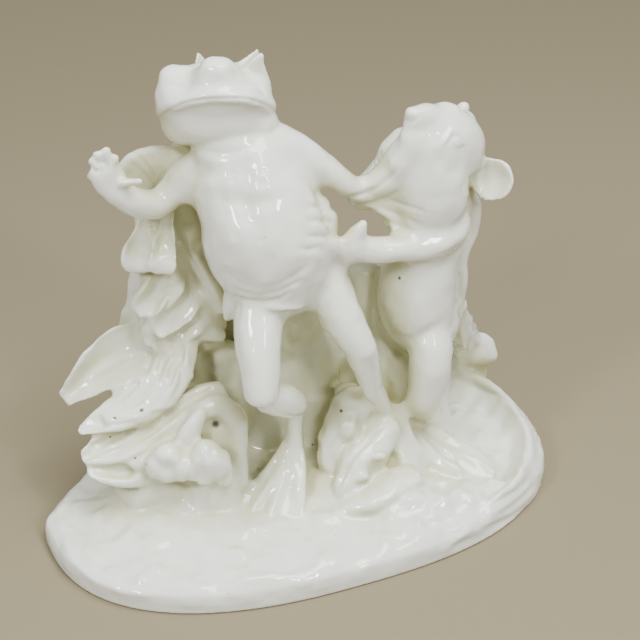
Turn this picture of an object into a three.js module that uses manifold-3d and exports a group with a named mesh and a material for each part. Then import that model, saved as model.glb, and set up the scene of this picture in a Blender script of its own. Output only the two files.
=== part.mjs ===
// Porcelain group of a crowned frog and a mouse among water plants, on its own plinth.
// Millimetres, +Z up, origin under the middle of the plinth, +X along the plinth's long axis.
// The figures are laid out in a frame of their own, in which they face -Y, and which is turned
// on the plinth. Every form is a closed surface; all of them are joined into one solid.

import * as THREE from 'three';
import { mergeVertices } from 'three/addons/utils/BufferGeometryUtils.js';
import Module from 'manifold-3d';

const wasm = await Module();
wasm.setup();

// Plinth: a superellipse in plan, turned under the figures, its corners softer at the back.
const PLINTH_LENGTH = 240;
const PLINTH_WIDTH = 157;
const PLINTH_SQUARENESS = 2.45;
const SOFTER_BACK_LEFT = 1.03;
const SOFTER_BACK_RIGHT = 0.4;
const PLINTH_TURN = THREE.MathUtils.degToRad(23);
const EDGE_HEIGHT = 9;
const EDGE_TUCK = 0.975;

// Ground on the plinth: its level, the pool at the right end and the pool's rim.
const GROUND_LEVEL = 13;
const POOL_DEPTH = 5;
const POOL_RIM = 4.4;

// How finely a surface is faceted.
const SIDES = 7;
const STEPS = 5;

const FRONT = [0, -1, 0];
const UP = [0, 0, 1];

const clamp = THREE.MathUtils.clamp;
const smooth = THREE.MathUtils.smoothstep;

// Value of a smooth curve through the rows of a table, at t from 0 to 1 (uniform Catmull-Rom).
function along(rows, t) {
  const place = clamp(t, 0, 1) * (rows.length - 1);
  const i = Math.min(Math.floor(place), rows.length - 2);
  const f = place - i;
  const [p0, p1, p2, p3] = [i - 1, i, i + 1, i + 2].map((k) => rows[clamp(k, 0, rows.length - 1)]);
  return p1.map((_, c) => {
    const bend = 2 * p0[c] - 5 * p1[c] + 4 * p2[c] - p3[c];
    const twist = 3 * p1[c] - p0[c] - 3 * p2[c] + p3[c];
    return p1[c] + 0.5 * f * (p2[c] - p0[c] + f * (bend + f * twist));
  });
}

// A closed surface: a sphere's grid whose points are put where place(around, ring) says.
// around runs from 0 to 1 round the form, ring counts from the first pole to the last.
function closedSurface(sides, rings, place) {
  const grid = new THREE.SphereGeometry(1, sides, rings);
  const points = grid.getAttribute('position');
  for (let ring = 0; ring <= rings; ring += 1) {
    for (let side = 0; side <= sides; side += 1) {
      const point = place((side % sides) / sides, ring);
      points.setXYZ(ring * (sides + 1) + side, ...point);
    }
  }
  grid.deleteAttribute('normal');
  grid.deleteAttribute('uv');
  return solidOf(mergeVertices(grid, 1e-4));
}

// A geometry as a solid, turned right side out where its enclosed volume comes out negative.
function solidOf(geometry) {
  const points = geometry.getAttribute('position').array;
  const faces = Uint32Array.from(geometry.getIndex().array);
  const corner = (k) => new THREE.Vector3(...points.subarray(3 * k, 3 * k + 3));
  let volume = 0;
  for (let i = 0; i < faces.length; i += 3) {
    const [a, b, c] = [corner(faces[i]), corner(faces[i + 1]), corner(faces[i + 2])];
    volume += a.dot(b.cross(c));
  }
  if (volume < 0) {
    for (let i = 0; i < faces.length; i += 3) {
      [faces[i], faces[i + 1]] = [faces[i + 1], faces[i]];
    }
  }
  const mesh = new wasm.Mesh({ numProp: 3, vertProperties: Float32Array.from(points), triVerts: faces });
  return new wasm.Manifold(mesh);
}

// A limb, trunk, finger or leaf: an oval section carried along a path, with rounded ends.
// Each row is x, y, z, half width and half depth; face is the side that the depth points to.
// profile(across, through, t) gives the section's width and depth offsets as shares of both.
function limb(rows, options = {}) {
  const { sides = SIDES, steps = STEPS, caps = 1, face = FRONT, round = [1, 1], profile = null } = options;
  const front = new THREE.Vector3(...face);
  const spots = rows.map((row) => new THREE.Vector3(row[0], row[1], row[2]));
  const length = spots.slice(1).reduce((sum, spot, i) => sum + spot.distanceTo(spots[i]), 0);
  const cap = [0, 1].map((end) => {
    const row = rows[end * (rows.length - 1)];
    return clamp(round[end] * Math.max(row[3], row[4]) / length, 0.01, 0.4);
  });
  const rings = steps + 2 * caps;
  return closedSurface(sides, rings, (around, ring) => {
    let t = cap[0] + (1 - cap[0] - cap[1]) * (ring - caps) / steps;
    let swell = 1;
    if (ring < caps) {
      const turn = ring / caps * Math.PI / 2;
      t = cap[0] * (1 - Math.cos(turn));
      swell = Math.sin(turn);
    }
    if (ring > rings - caps) {
      const turn = (rings - ring) / caps * Math.PI / 2;
      t = 1 - cap[1] * (1 - Math.cos(turn));
      swell = Math.sin(turn);
    }
    const [x, y, z, halfWidth, halfDepth] = along(rows, t);
    const before = new THREE.Vector3(...along(rows, t - 0.02).slice(0, 3));
    const heading = new THREE.Vector3(...along(rows, t + 0.02).slice(0, 3)).sub(before).normalize();
    const across = heading.clone().cross(front).normalize();
    const through = across.clone().cross(heading);
    const angle = 2 * Math.PI * around;
    const oval = [Math.cos(angle), Math.sin(angle)];
    const [wide, deep] = profile ? profile(oval[0], oval[1], t) : oval;
    return new THREE.Vector3(x, y, z)
      .addScaledVector(across, swell * halfWidth * wide)
      .addScaledVector(through, swell * halfDepth * deep)
      .toArray();
  });
}

// A rounded lump: centre and half sizes along x, y and z.
function lump(centre, radii, sides = 10, rings = 6) {
  return closedSurface(sides, rings, (around, ring) => {
    const down = Math.PI * ring / rings;
    const angle = 2 * Math.PI * around;
    const out = [Math.sin(down) * Math.cos(angle), Math.sin(down) * Math.sin(angle), Math.cos(down)];
    return out.map((share, k) => centre[k] + radii[k] * share);
  });
}

// Section of a leaf: cup bends its sides towards the face, ribs run along it.
function leafSection(cup, ribs, ribHeight) {
  return (across, through, t) => {
    const fade = Math.sin(Math.PI * clamp(t, 0.08, 0.92));
    const rib = ribHeight * Math.cos(ribs * Math.PI * across) * fade;
    return [across, through + cup * across * across + rib];
  };
}

function leaf(rows, cup, ribs, ribHeight, face = FRONT, options = {}) {
  const profile = leafSection(cup, ribs, ribHeight);
  return limb(rows, { sides: 9, steps: 5, face, round: [0.4, 0.4], profile, ...options });
}

// Height of the ground at a place in the figures' frame, out being 1 on the plinth's edge.
function groundHeight(x, y, out) {
  const towardsPool = 0.9 * x + 0.45 * y;
  const pool = smooth(towardsPool, 62, 76) * (1 - smooth(out, 0.85, 0.905)) * smooth(y, -16, -2);
  const rim = POOL_RIM * Math.exp(-(((out - 0.945) / 0.034) ** 2)) * smooth(towardsPool, 52, 76);
  const mound = 9 * Math.exp(-(((x - 2) / 52) ** 2) - (((y + 2) / 34) ** 2));
  const bank = 4.5 * Math.exp(-(((x - 66) / 32) ** 2) - (((y + 30) / 15) ** 2));
  const leafFoot = 7 * Math.exp(-(((x + 46) / 26) ** 2) - (((y + 30) / 18) ** 2));
  const shellFoot = 5 * Math.exp(-(((x - 30) / 20) ** 2) - (((y + 20) / 14) ** 2));
  const waves = 0.8 * Math.sin(x / 5.5 + y / 9) * Math.sin(y / 7 - x / 17);
  const land = (mound + bank + leafFoot + shellFoot + waves) * (1 - pool) * (1 - smooth(out, 0.8, 1));
  const edge = 1 - 0.24 * smooth(out, 0.94, 1);
  return (GROUND_LEVEL + rim + land - POOL_DEPTH * pool) * edge;
}

// Power of the plinth's superellipse at an angle from its long axis.
function squareness(angle) {
  const behind = smooth(Math.sin(angle), 0, 0.12);
  const left = SOFTER_BACK_LEFT * Math.exp(-(((angle - 2.85) / 0.85) ** 2));
  const right = SOFTER_BACK_RIGHT * Math.exp(-(((angle - 0.42) / 0.3) ** 2));
  return PLINTH_SQUARENESS - (left + right) * behind;
}

// The plinth with its ground: rings run from the underside's middle, out, up the edge and in again.
function plinth() {
  const sides = 32;
  const upEdge = [[0, 0], [EDGE_TUCK, 0], [1, 0.35 * EDGE_HEIGHT], [0.995, EDGE_HEIGHT]];
  const inwards = [0.965, 0.92, 0.86, 0.7, 0.42, 0];
  return closedSurface(sides, upEdge.length + inwards.length - 1, (around, ring) => {
    const angle = 2 * Math.PI * around;
    const power = squareness(angle);
    const reach = ((Math.abs(Math.cos(angle)) / (PLINTH_LENGTH / 2)) ** power
      + (Math.abs(Math.sin(angle)) / (PLINTH_WIDTH / 2)) ** power) ** (-1 / power);
    const out = ring < upEdge.length ? upEdge[ring][0] : inwards[ring - upEdge.length];
    const x = out * reach * Math.cos(angle + PLINTH_TURN);
    const y = out * reach * Math.sin(angle + PLINTH_TURN);
    const z = ring < upEdge.length ? upEdge[ring][1] : groundHeight(x, y, out);
    return [x, y, z];
  });
}

// Rockwork that rises behind the figures and carries them and the plants.
function rockwork() {
  const gnarl = (across, through, t) => {
    const angle = Math.atan2(through, across);
    const swell = 1 + 0.12 * Math.sin(3 * angle + 7 * t) + 0.05 * Math.sin(7 * angle - 4 * t);
    return [across * swell, through * swell];
  };
  const rough = { sides: 10, steps: 4, round: [0.1, 0.6], profile: gnarl };
  const middle = [[6, 30, 4, 60, 38], [4, 31, 30, 48, 30], [0, 30, 58, 38, 25], [8, 31, 82, 34, 19],
    [24, 34, 100, 18, 10]];
  const left = [[-56, 8, 4, 38, 32], [-58, 9, 34, 29, 23], [-58, 9, 66, 23, 19], [-56, 9, 98, 15.5, 13],
    [-57, 9, 128, 12, 10],
    [-57, 12, 160, 9, 6]];
  const inner = [[-40, 4, 74, 10, 8], [-42, 1, 90, 11, 8], [-45, 2, 106, 8, 7]];
  const back = [[84, 70, 6, 9, 5], [83, 67, 26, 9, 6], [79, 57, 44, 7, 7], [77, 44, 60, 6, 8],
    [74, 31, 77, 5, 6],
    [73, 22, 88, 4, 4]];
  const footRise = [[47, -12, 6, 18, 12], [47, -11, 18, 13, 9], [47, -7, 28, 6, 6]];
  const seat = [[54, 32, 4, 20, 20], [53, 31, 40, 15, 15], [54, 28, 80, 13, 11]];
  const between = [[36, 22, 4, 20, 18], [37, 20, 36, 16, 13], [38, 20, 66, 13, 11], [42, 22, 96, 10, 9]];
  const rump = [[-2, 20, 60, 18, 14], [-6, 8, 96, 14, 12], [-8, 0, 118, 12, 9]];
  const lobe = [[80, 66, 30, 6, 8], [88, 67, 32, 7, 8], [94, 68, 29, 5, 6], [98, 68, 26, 2.6, 3]];
  const stalk = [[8, 2, 12, 4, 4], [7, 6, 40, 3.6, 4], [9, 10, 66, 3.4, 4], [6, 12, 96, 3, 4]];
  return [
    limb(middle, { ...rough, sides: 10, steps: 4 }),
    limb(left, { ...rough, steps: 5 }),
    limb(inner, { sides: 5, steps: 2 }),
    limb(back, { ...rough, sides: 7, steps: 3 }),
    limb(footRise, { sides: 6, steps: 1, round: [0.1, 0.6] }),
    limb(seat, { ...rough, sides: 7, steps: 2 }),
    limb(between, { ...rough, sides: 7, steps: 2 }),
    limb(rump, { sides: 5, steps: 2 }),
    limb(lobe, { face: UP, steps: 2, sides: 5 }),
    limb(stalk, { sides: 5, steps: 2 }),
  ];
}

// Broad leaves and stems on the side turned away, plainer than those in front.
function backLeaves() {
  const broad = [
    [[-42, 20, 92, 5, 3], [-48, 28, 74, 12, 3.4], [-54, 34, 54, 14, 3.4], [-60, 40, 34, 6, 3]],
    [[6, 46, 100, 5, 3], [4, 56, 80, 13, 3.4], [2, 63, 58, 15, 3.4], [0, 70, 36, 6, 3]],
    [[38, 36, 86, 4, 3], [41, 45, 66, 11, 3.4], [45, 53, 46, 12, 3.4], [50, 60, 26, 5, 3]],
  ];
  return broad.map((rows) => leaf(rows, -0.8, 1, 0.2, [0, 1, 0.2], { sides: 7, steps: 2 }));
}

// Lily leaf on top of the clump: a round bowl, open to the viewer, with a rolled edge.
function lilyLeaf() {
  const bowl = [[-57, 5, 138, 6, 4], [-57.5, 5, 147, 12.5, 4], [-58, 5, 156, 15.6, 4],
    [-58, 4.6, 164.5, 14.6, 3.8], [-57.5, 3, 171.5, 9.6, 3.4]];
  const roll = [[-74, 3, 155, 2, 2.4], [-72.6, 3, 163, 2.4, 2.6], [-66.5, 3, 169.6, 2.6, 2.8],
    [-57, 3, 172.4, 2.6, 2.8], [-47, 3, 170.6, 2.6, 2.8],
    [-42, 4, 161, 2.4, 2.6]];
  return [
    leaf(bowl, 0.5, 3, 0.1, FRONT, { sides: 8, steps: 4 }),
    limb(roll, { steps: 5, sides: 5 }),
  ];
}

// Curled leaves down the left side of the clump, tiers of paired lobes.
function curledLeaves() {
  const tiers = [
    [[-64, 3, 143, 6, 4.4], [-66, 0, 134, 7, 5], [-68, -3, 126, 7.6, 5], [-70, -6, 119.5, 5, 4.4]],
    [[-54, 3, 141, 6, 4.4], [-54.5, -1, 133, 6.6, 5], [-55.5, -5, 125.5, 7.2, 5],
    [-57, -7.5, 119, 4.6, 4.4]],
    [[-50, 2, 117, 6, 4.4], [-57, -1, 111.5, 8, 5], [-64, -4, 106, 7, 5], [-71, -5, 100.5, 3, 3.4]],
    [[-46, 2, 107, 6, 4.4], [-51, -2, 101.5, 7.4, 5], [-57, -5, 96.5, 7, 5], [-63.5, -6.5, 92.5, 4, 3.6]],
    [[-44, 3, 100, 7, 5], [-50, -1, 95, 9, 5], [-58, -3, 90, 10, 5], [-68, -4, 87, 7, 4.4]],
  ];
  return tiers.map((tier) => leaf(tier, 0.9, 2, 0.12, FRONT, { sides: 8, steps: 3, round: [0.5, 0.9] }));
}

// The large leaves that spread to the left: a drooping bowl, a ribbed one over it, a fan below.
function spreadLeaves() {
  const drooping = [[-54, 3, 78, 10, 4.4], [-66, 1, 76, 12, 4.8], [-78, -3, 71.5, 13.4, 5],
    [-89, -8, 66, 11.4, 5], [-97.5, -12, 60.6, 7.6, 4.4],
    [-103, -14, 57.2, 4.6, 3.6]];
  const ribbed = [[-54, 2, 88, 10, 4], [-56, -5, 81, 14, 4.6], [-61, -13, 73, 15.5, 5],
    [-70, -22, 65, 13, 4.8], [-84, -30, 59, 5.4, 3.6]];
  const fanUpper = [[-46, -6, 62, 9, 4.4], [-62, -16, 59, 11, 4.8], [-78, -26, 56.5, 9, 4.6],
    [-94.5, -34, 53.8, 2, 2.4]];
  const fanMiddle = [[-44, -12, 52, 10, 5], [-60, -22, 50, 12, 5], [-76, -31, 46.5, 11, 4.8],
    [-93.5, -39, 43.6, 3.2, 3]];
  const fanLower = [[-40, -16, 38, 12, 6], [-58, -26, 37, 13, 6], [-76, -36, 35.5, 11.5, 5.4],
    [-91, -43, 38.5, 4, 3.4]];
  const sweep = [[-30, -17, 64, 6, 4], [-38, -21, 63, 9, 4.4], [-49, -26, 57, 12, 4.8],
    [-62, -31, 49, 12.5, 4.6], [-76, -37, 44, 8, 4]];
  const base = [[-44, -14, 20, 12, 12], [-60, -24, 20, 13, 11], [-78, -34, 22, 9, 8]];
  return [
    leaf(drooping, 1.2, 2, 0.1, [0.25, -0.7, 0.7], { sides: 9, round: [0.4, 0.8] }),
    leaf(ribbed, -0.7, 5, 0.3, [-0.5, -0.5, 0.7], { sides: 12, steps: 4 }),
    leaf(fanUpper, 0.6, 3, 0.2, [0, -0.5, 0.85], { sides: 8, steps: 3 }),
    leaf(fanMiddle, 0.7, 3, 0.25, [0, -0.7, 0.7], { sides: 8, steps: 3 }),
    leaf(fanLower, 0.5, 3, 0.2, [0, -0.8, 0.6], { sides: 8, steps: 3 }),
    leaf(sweep, -0.3, 2, 0.15, [-0.2, -0.7, 0.7], { sides: 7, steps: 3 }),
    limb(base, { face: UP, sides: 6, steps: 2 }),
  ];
}

// The hooded leaf arching over its tongue, with the double bud in front, on a short column.
function hoodAndBud() {
  const arch = [[-49, -33, 42, 3.4, 4], [-47, -31, 52, 3.6, 4.6], [-42, -27, 59.5, 4.4, 5.4],
    [-34.5, -24, 61.5, 5.4, 6], [-28, -24, 56, 6, 6],
    [-26, -26, 46, 5.6, 5.6], [-26, -29, 34, 5.4, 5.4], [-26, -32, 20, 6, 6]];
  const tongue = [[-49, -37, 45, 2.4, 2.4], [-47, -36.5, 52, 4.8, 3], [-43.4, -34, 58.5, 4, 2.8],
    [-39.4, -31, 64.5, 1.8, 1.8]];
  const column = [[-40, -34, 4, 24, 17], [-39, -34, 15, 19, 13], [-38, -34, 27, 13, 10],
    [-38, -33, 40, 9, 7.4]];
  return [
    limb(arch, { steps: 6, sides: 6 }),
    limb(tongue, { sides: 5, steps: 2 }),
    limb(column, { sides: 8, steps: 2, round: [0.2, 1] }),
    lump([-55.5, -41.5, 43], [9.4, 6.6, 7.6], 8, 5),
    lump([-38.5, -42, 45], [9.6, 6.6, 8], 8, 5),
  ];
}

// Half-open shell leaning against the rock, and the flat leaf before it.
function shellAndLeaf() {
  const upper = [[15, -22, 22, 5, 5], [20, -15, 31, 11, 6], [27, -9, 42, 14, 7], [33, -4, 50, 11, 6],
    [36, 0, 54, 5, 4]];
  const lower = [[19, -33, 17, 3, 4], [26, -28, 24, 8.6, 6], [34, -20, 32, 10, 7],
    [42, -12, 39, 7.6, 5.4], [46, -9, 42, 3, 3]];
  const flat = [[20, -38, 14, 4, 3], [30, -36, 17, 8, 3.6], [42, -30, 19, 8, 3.6], [54, -24, 18, 4, 3]];
  const stone = [[24, -4, 10, 14, 12], [25, -1, 30, 11, 10], [24, 1, 46, 7, 7], [22.5, 1, 55, 5.6, 5.4]];
  const lean = [0.6, -0.7, 0.35];
  return [
    limb(stone, { sides: 5, steps: 2 }),
    leaf(upper, -0.5, 4, 0.1, lean, { sides: 8, steps: 3, round: [0.8, 0.8] }),
    leaf(lower, -0.6, 1, 0.1, lean, { sides: 8, steps: 3, round: [0.8, 0.8] }),
    limb(flat, { face: UP, sides: 6, steps: 3, round: [0.5, 0.5] }),
  ];
}

// Frog's trunk with the hip cloth whose hem stands off the thighs, and the fold at its flank.
function frogTrunk() {
  const trunk = [[-7, -8, 104, 12, 11], [-7, -12, 116, 20, 17], [-9, -15, 128, 25, 20],
    [-12, -15, 140, 26.5, 21.5],
    [-15, -12, 152, 25, 18.5], [-20, -8, 163, 23.5, 15.5], [-23, -6, 172, 21.5, 13.5],
    [-27, -5, 180, 16, 12], [-31, -3, 190, 14, 11]];
  const cloth = [[-9, -13, 126, 21, 18.5], [-9, -15, 118.5, 19.5, 19.2], [-9.5, -17, 111.5, 17.5, 18.5]];
  const clothTip = [[-22, -19, 124, 5, 5], [-26, -21, 114, 4.5, 4.5], [-29, -22, 104, 1.6, 1.8]];
  const flank = [[5, -5, 158, 3, 4], [11, -6, 151, 4, 6], [14, -7, 141, 4.6, 7], [12, -9, 130, 4.4, 7],
    [8, -10, 122, 4, 5]];
  return [
    limb(trunk, { sides: 12, steps: 6 }),
    limb(cloth, { sides: 11, steps: 2, round: [0.3, 0.08] }),
    limb(clothTip, { sides: 5, steps: 2 }),
    limb(flank, { sides: 5, steps: 3 }),
  ];
}

// Frog's head thrown back: throat, horseshoe upper lip, forehead, snout, eyes and crown.
function frogHead() {
  const lip = [[-54, 1, 191, 3, 4], [-51, -6, 197.5, 3.2, 5], [-43, -11.5, 203, 3.4, 5.4],
    [-30, -14, 206, 3.4, 5.4], [-19.5, -12, 205, 3.4, 5.4],
    [-12.5, -6, 200, 3.2, 5], [-9.6, 1, 194, 3, 4]];
  const snout = [[-30.5, -4, 199, 18, 9.4], [-29.6, -6.6, 206, 13, 9], [-29.4, -8.6, 213, 8.4, 7.4],
    [-30, -9.8, 219.4, 4.8, 4.6]];
  return [
    lump([-31, -0.5, 191.5], [23.6, 14.6, 14.5], 11, 6),
    lump([-31, 0, 200.5], [22.5, 15, 11.5], 10, 6),
    limb(lip, { steps: 7, sides: 5 }),
    limb(snout, { sides: 9, steps: 3, round: [1, 0.8] }),
    lump([-45.4, -0.5, 199.6], [10, 10.5, 12.4], 8, 6),
    lump([-17.4, 0.6, 197.5], [6.6, 8, 8], 8, 5),
  ];
}

// Crown on the back of the frog's head: a tilted ring whose upper edge rises in points, the one
// over the forehead low, with a broad point of its own in front on the right.
function crown() {
  const points = 4;
  const perPoint = 4;
  const centre = new THREE.Vector3(-25.5, 8.5, 195.5);
  const tilt = new THREE.Euler(-0.72, 0.05, 0);
  const radius = 12;
  const wall = 1.5;
  const bandHeight = 5;
  const pointHeight = 13;
  const splay = 4;
  const floor = 2;
  const rings = [[0, 0, 0], [1, 0, 0], [1, 0, 1], [-1, 0, 1], [-1, floor, 0], [0, floor, 0]];
  const ring = closedSurface(points * perPoint, rings.length - 1, (around, place) => {
    const [skin, step, rise] = rings[place];
    const angle = 2 * Math.PI * around;
    const overForehead = Math.max(0, -Math.sin(angle)) ** 2;
    const saw = Math.abs(2 * ((points * around) % 1) - 1) * (1 - 0.85 * overForehead);
    const height = step + rise * (bandHeight + pointHeight * saw);
    const reach = skin === 0 ? 0 : radius + skin * wall * (1.1 - 0.8 * rise * saw) + splay * rise * saw;
    return new THREE.Vector3(reach * Math.cos(angle), reach * Math.sin(angle), height)
      .applyEuler(tilt)
      .add(centre)
      .toArray();
  });
  const broad = [[-15.5, 1, 195.5, 10.5, 2], [-14.4, 0.6, 202, 7.6, 1.8], [-13.2, 0.2, 210, 4, 1.5],
    [-12.4, 0, 218, 0.7, 0.9]];
  return [
    ring,
    limb(broad, { sides: 6, steps: 2, round: [0.4, 0.4], face: [0.25, -0.9, 0.3] }),
  ];
}

// A hand or foot: digits fan out from a palm, and a thin web may join them.
function digits(root, tips, rootRadius, tipRadius, options = {}) {
  return tips.map((tip) => {
    const middle = root.map((value, k) => 0.45 * value + 0.55 * tip[k] + (k === 2 ? options.arch ?? 0 : 0));
    const rows = [[...root, rootRadius, rootRadius],
    [...middle, 0.75 * rootRadius + 0.25 * tipRadius, tipRadius * 1.1],
      [...tip, tipRadius, tipRadius]];
    return limb(rows, { sides: options.sides ?? 5, steps: 2, face: options.face ?? UP });
  });
}

function frogArms() {
  const right = [[-37, -4, 173, 7.4, 7.4], [-44.5, -4, 165, 7.4, 7.5], [-50.5, -5, 157.5, 7, 7.4],
    [-56, -8, 153, 7, 7.2], [-62, -13, 154.5, 6.8, 6.6],
    [-68.5, -18, 160.5, 6, 5.8], [-72.5, -20, 166, 5.6, 4.8]];
  const left = [[-15, -3, 183, 7, 9], [-6, -1, 178.5, 7.6, 9], [3, 0, 172.5, 7.2, 8],
    [11, 1, 166.5, 6, 7], [19, 3, 159, 5.2, 6],
    [27, 6.5, 151, 4.6, 5], [35, 9, 146, 5.4, 4.4], [40, 9, 145, 5, 3.6]];
  const palm = [[-69.5, -19, 162, 5.6, 4.6], [-73, -21, 169, 7.2, 3.4], [-75.4, -22, 175.5, 6.4, 2.8]];
  const rightTips = [[-84, -23.5, 174.8], [-79.4, -23, 182.6], [-74, -22, 186.4]];
  const leftTips = [[45, 7, 157], [50.5, 4, 148], [51, 1.5, 139.5], [45.5, 0.5, 134.5]];
  return [
    limb(right, { steps: 7 }),
    limb(left, { steps: 6 }),
    limb(palm, { sides: 6, steps: 2, round: [0.5, 0.6], face: [0.3, -0.9, 0.3] }),
    ...digits([-73.5, -21, 170], rightTips, 3.8, 2.2, { face: FRONT }),
    ...digits([-71, -21, 167.5], [[-60.4, -25, 171.8]], 3.4, 2.2, { face: FRONT }),
    ...digits([33, 7, 147], leftTips, 3.6, 2.2, { face: FRONT, arch: 1 }),
  ];
}

function frogLegs() {
  const rightThigh = [[-10, -14, 122, 10, 10], [-14, -22, 114, 11, 11.5], [-15, -31, 105, 10.4, 11],
    [-14.5, -39, 96, 9.2, 10],
    [-14, -46, 85, 7.6, 8.4], [-14, -47.5, 79.5, 6.2, 7]];
  const rightShin = [[-14, -45, 82, 6, 7], [-8, -37, 74, 7.2, 7.4], [-3, -27, 66, 7.4, 7.6],
    [0.5, -18, 58, 6, 6.4]];
  const rightFoot = [[0.5, -17, 60, 5.4, 5.6], [-0.5, -15, 48, 4, 4.6], [-1, -17, 36, 4.4, 5],
    [-4, -23, 28, 8, 4.4], [-7, -32, 21, 12.5, 3],
    [-10, -42, 15, 14, 2.8]];
  const leftThigh = [[4, -8, 121, 10, 10], [11, -10, 119, 11, 11], [16, -14, 111, 10.4, 10.4],
    [22, -19, 101, 8.8, 9], [28, -22, 92, 7, 7.4],
    [30, -22, 87, 6.2, 6.4]];
  const leftShin = [[26, -21, 96, 7, 8], [29.5, -20.5, 86, 6.6, 7], [32.5, -16, 72, 5.6, 6.2],
    [37, -9, 56, 4.8, 5.4], [41, -5, 44, 4.8, 5.2],
    [48, -3, 34, 5.6, 5.4]];
  const leftFoot = [[40, -5, 44, 4.4, 4.4], [50, -4, 34, 6.4, 4], [62, -8, 25, 10.5, 3],
    [74, -12, 19, 13.5, 3], [85, -14.5, 14.5, 13, 2.6]];
  return [
    limb(rightThigh, { sides: 8, steps: 5 }),
    limb(rightShin, { sides: 8, steps: 3 }),
    limb(rightFoot, { sides: 8, steps: 4 }),
    ...digits([-2, -19, 33], [[-22, -45, 14.5], [-12, -47, 14.5], [2, -42, 16]], 3.2, 1.8, { sides: 4 }),
    limb(leftThigh, { sides: 8, steps: 4 }),
    limb(leftShin, { sides: 7, steps: 4 }),
    limb(leftFoot, { sides: 8, steps: 3, face: [-0.3, -0.3, 0.9] }),
    ...digits([52, -3, 33], [[64, -20, 19], [78, -20, 16.5], [94, -12, 14.5]], 3.4, 1.9, { sides: 4 }),
  ];
}

// Mouse's trunk with its belly and throat, the raised knee with the foot, and the tail up its back.
function mouseTrunk() {
  const trunk = [[57, 16, 66, 11, 11], [57, 14, 80, 17, 16], [54, 11, 94, 17.8, 17.6],
    [54.6, 12, 108, 17.2, 17.2], [58, 16, 121, 16.2, 15.6],
    [60, 20, 133, 16.4, 14.6], [63, 23, 145, 15.6, 13.6], [65, 24, 156, 14, 13]];
  const leg = [[60, 8, 86, 9, 9], [60, 0, 79, 9.6, 10], [60, -4, 70, 9.6, 10], [60, -3, 59, 9, 9],
    [61, 1, 47, 7, 7.4], [62.5, 7, 35, 5, 5.6],
    [63, 11, 24, 5.4, 6], [62, 10, 16, 6, 7]];
  const foot = [[64, 13, 19, 6, 5], [61, 5, 19, 6.6, 4], [57, -3, 18, 5, 3]];
  const fur = [[50, 3.8, 184, 5, 5], [49.4, 5.4, 177, 6, 6], [47.4, 7.4, 169, 7, 7],
    [42.4, 8.4, 161, 7, 7], [34, 9, 154, 5.4, 5.4],
    [27, 9, 149, 4, 4]];
  const shoulder = [[46, 13.6, 168, 10, 9.6], [48, 12, 153, 14, 10], [50, 11, 142, 14, 10],
    [54, 12, 132, 12, 10]];
  const throat = [[59, 10, 130, 14, 12], [58, 8, 141, 15.5, 13], [58, 8, 152, 16, 13.4],
    [57.4, 9.4, 162, 16, 13.8], [58, 9, 172, 13, 11.6]];
  const tail = [[73, 22, 78, 3.6, 4], [73, 19, 98, 3.8, 4], [73.5, 19, 114, 4, 4.4],
    [77.6, 23, 125, 4.2, 5], [77.4, 25.6, 135, 4.2, 5],
    [73.4, 26, 142, 3.6, 4.4]];
  return [
    limb(trunk, { sides: 10, steps: 6 }),
    limb(leg, { sides: 8, steps: 5 }),
    limb(foot, { face: UP, sides: 6, steps: 2 }),
    limb(shoulder, { sides: 8, steps: 2 }),
    limb(throat, { sides: 8, steps: 4 }),
    limb(fur, { sides: 6, steps: 4 }),
    limb(tail, { sides: 5, steps: 5 }),
  ];
}

// Mouse's head looking up to the left, with round ear, far ear, eye, brow and nose.
function mouseHead() {
  const head = [[68.5, 26, 150, 13, 12.5], [67, 22.5, 160, 16.4, 15.6], [63.5, 18, 168.5, 16.4, 15.6],
    [59, 13.5, 176, 14, 13.6],
    [55, 9, 183.2, 9.6, 9.6], [51.2, 5.4, 188, 6, 6], [48.6, 3.6, 190.2, 3.6, 3.6]];
  const ear = [[75, 18, 160, 5, 3.4], [80, 17, 156.6, 8.8, 3], [85, 16.4, 153, 9.8, 3],
    [89.6, 16, 149.6, 8.4, 2.8],
    [92.4, 16, 147.6, 4.8, 2.4]];
  const farEar = [[69, 30, 172, 4, 3.4], [71.5, 31, 177, 3.4, 2.6], [74, 32, 181, 1.6, 1.4]];
  return [
    limb(head, { sides: 10, steps: 6 }),
    lump([64, 17, 181.5], [7.4, 6.5, 6.5], 8, 5),
    leaf(ear, 1.2, 1, 0, FRONT, { sides: 8, steps: 4, round: [0.6, 0.8] }),
    limb([[71, 23, 159, 5, 4], [79, 18.4, 156, 5, 3.4]], { face: UP, sides: 5, steps: 1 }),
    limb(farEar, { sides: 5, steps: 2 }),
  ];
}

function mouseArms() {
  const left = [[68, 16, 138, 9, 9], [67, 9, 133, 8.6, 9], [60, 1, 130, 7.4, 7.8],
    [49, -4, 130, 6.2, 6.6], [37, -8, 131, 5.6, 6], [26, -11, 133, 6, 5]];
  const right = [[62, 26, 160, 14, 12], [54, 24, 161, 14, 12], [46, 21, 158, 12, 11],
    [38, 17, 152, 8.5, 8.6], [30, 13, 147, 6.8, 6.8],
    [24, 9, 144, 5, 5.5]];
  const hand = [[31, -10, 132, 5, 5], [25, -12, 134, 7.4, 4.4], [19, -13, 136, 6.6, 4]];
  const thumb = [[24, -12, 136, 4.2, 3.6], [27, -12, 142, 3.2, 2.8], [29.5, -12, 147.5, 1.4, 1.4]];
  return [
    limb(left, { steps: 5 }),
    limb(right, { steps: 4 }),
    limb(hand, { sides: 6, steps: 2 }),
    limb(thumb, { sides: 6, steps: 2 }),
    ...digits([19, -14, 136], [[7.5, -19, 147], [6.2, -21, 141.5], [7, -21, 136],
    [9.6, -19.5, 130.5]], 3.2, 2.1, { face: FRONT }),
  ];
}

// Porcelain, white and glossy under its glaze.
const glazedPorcelain = new THREE.MeshStandardMaterial({ color: 0xe9e9e1, roughness: 0.12, metalness: 0 });

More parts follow.
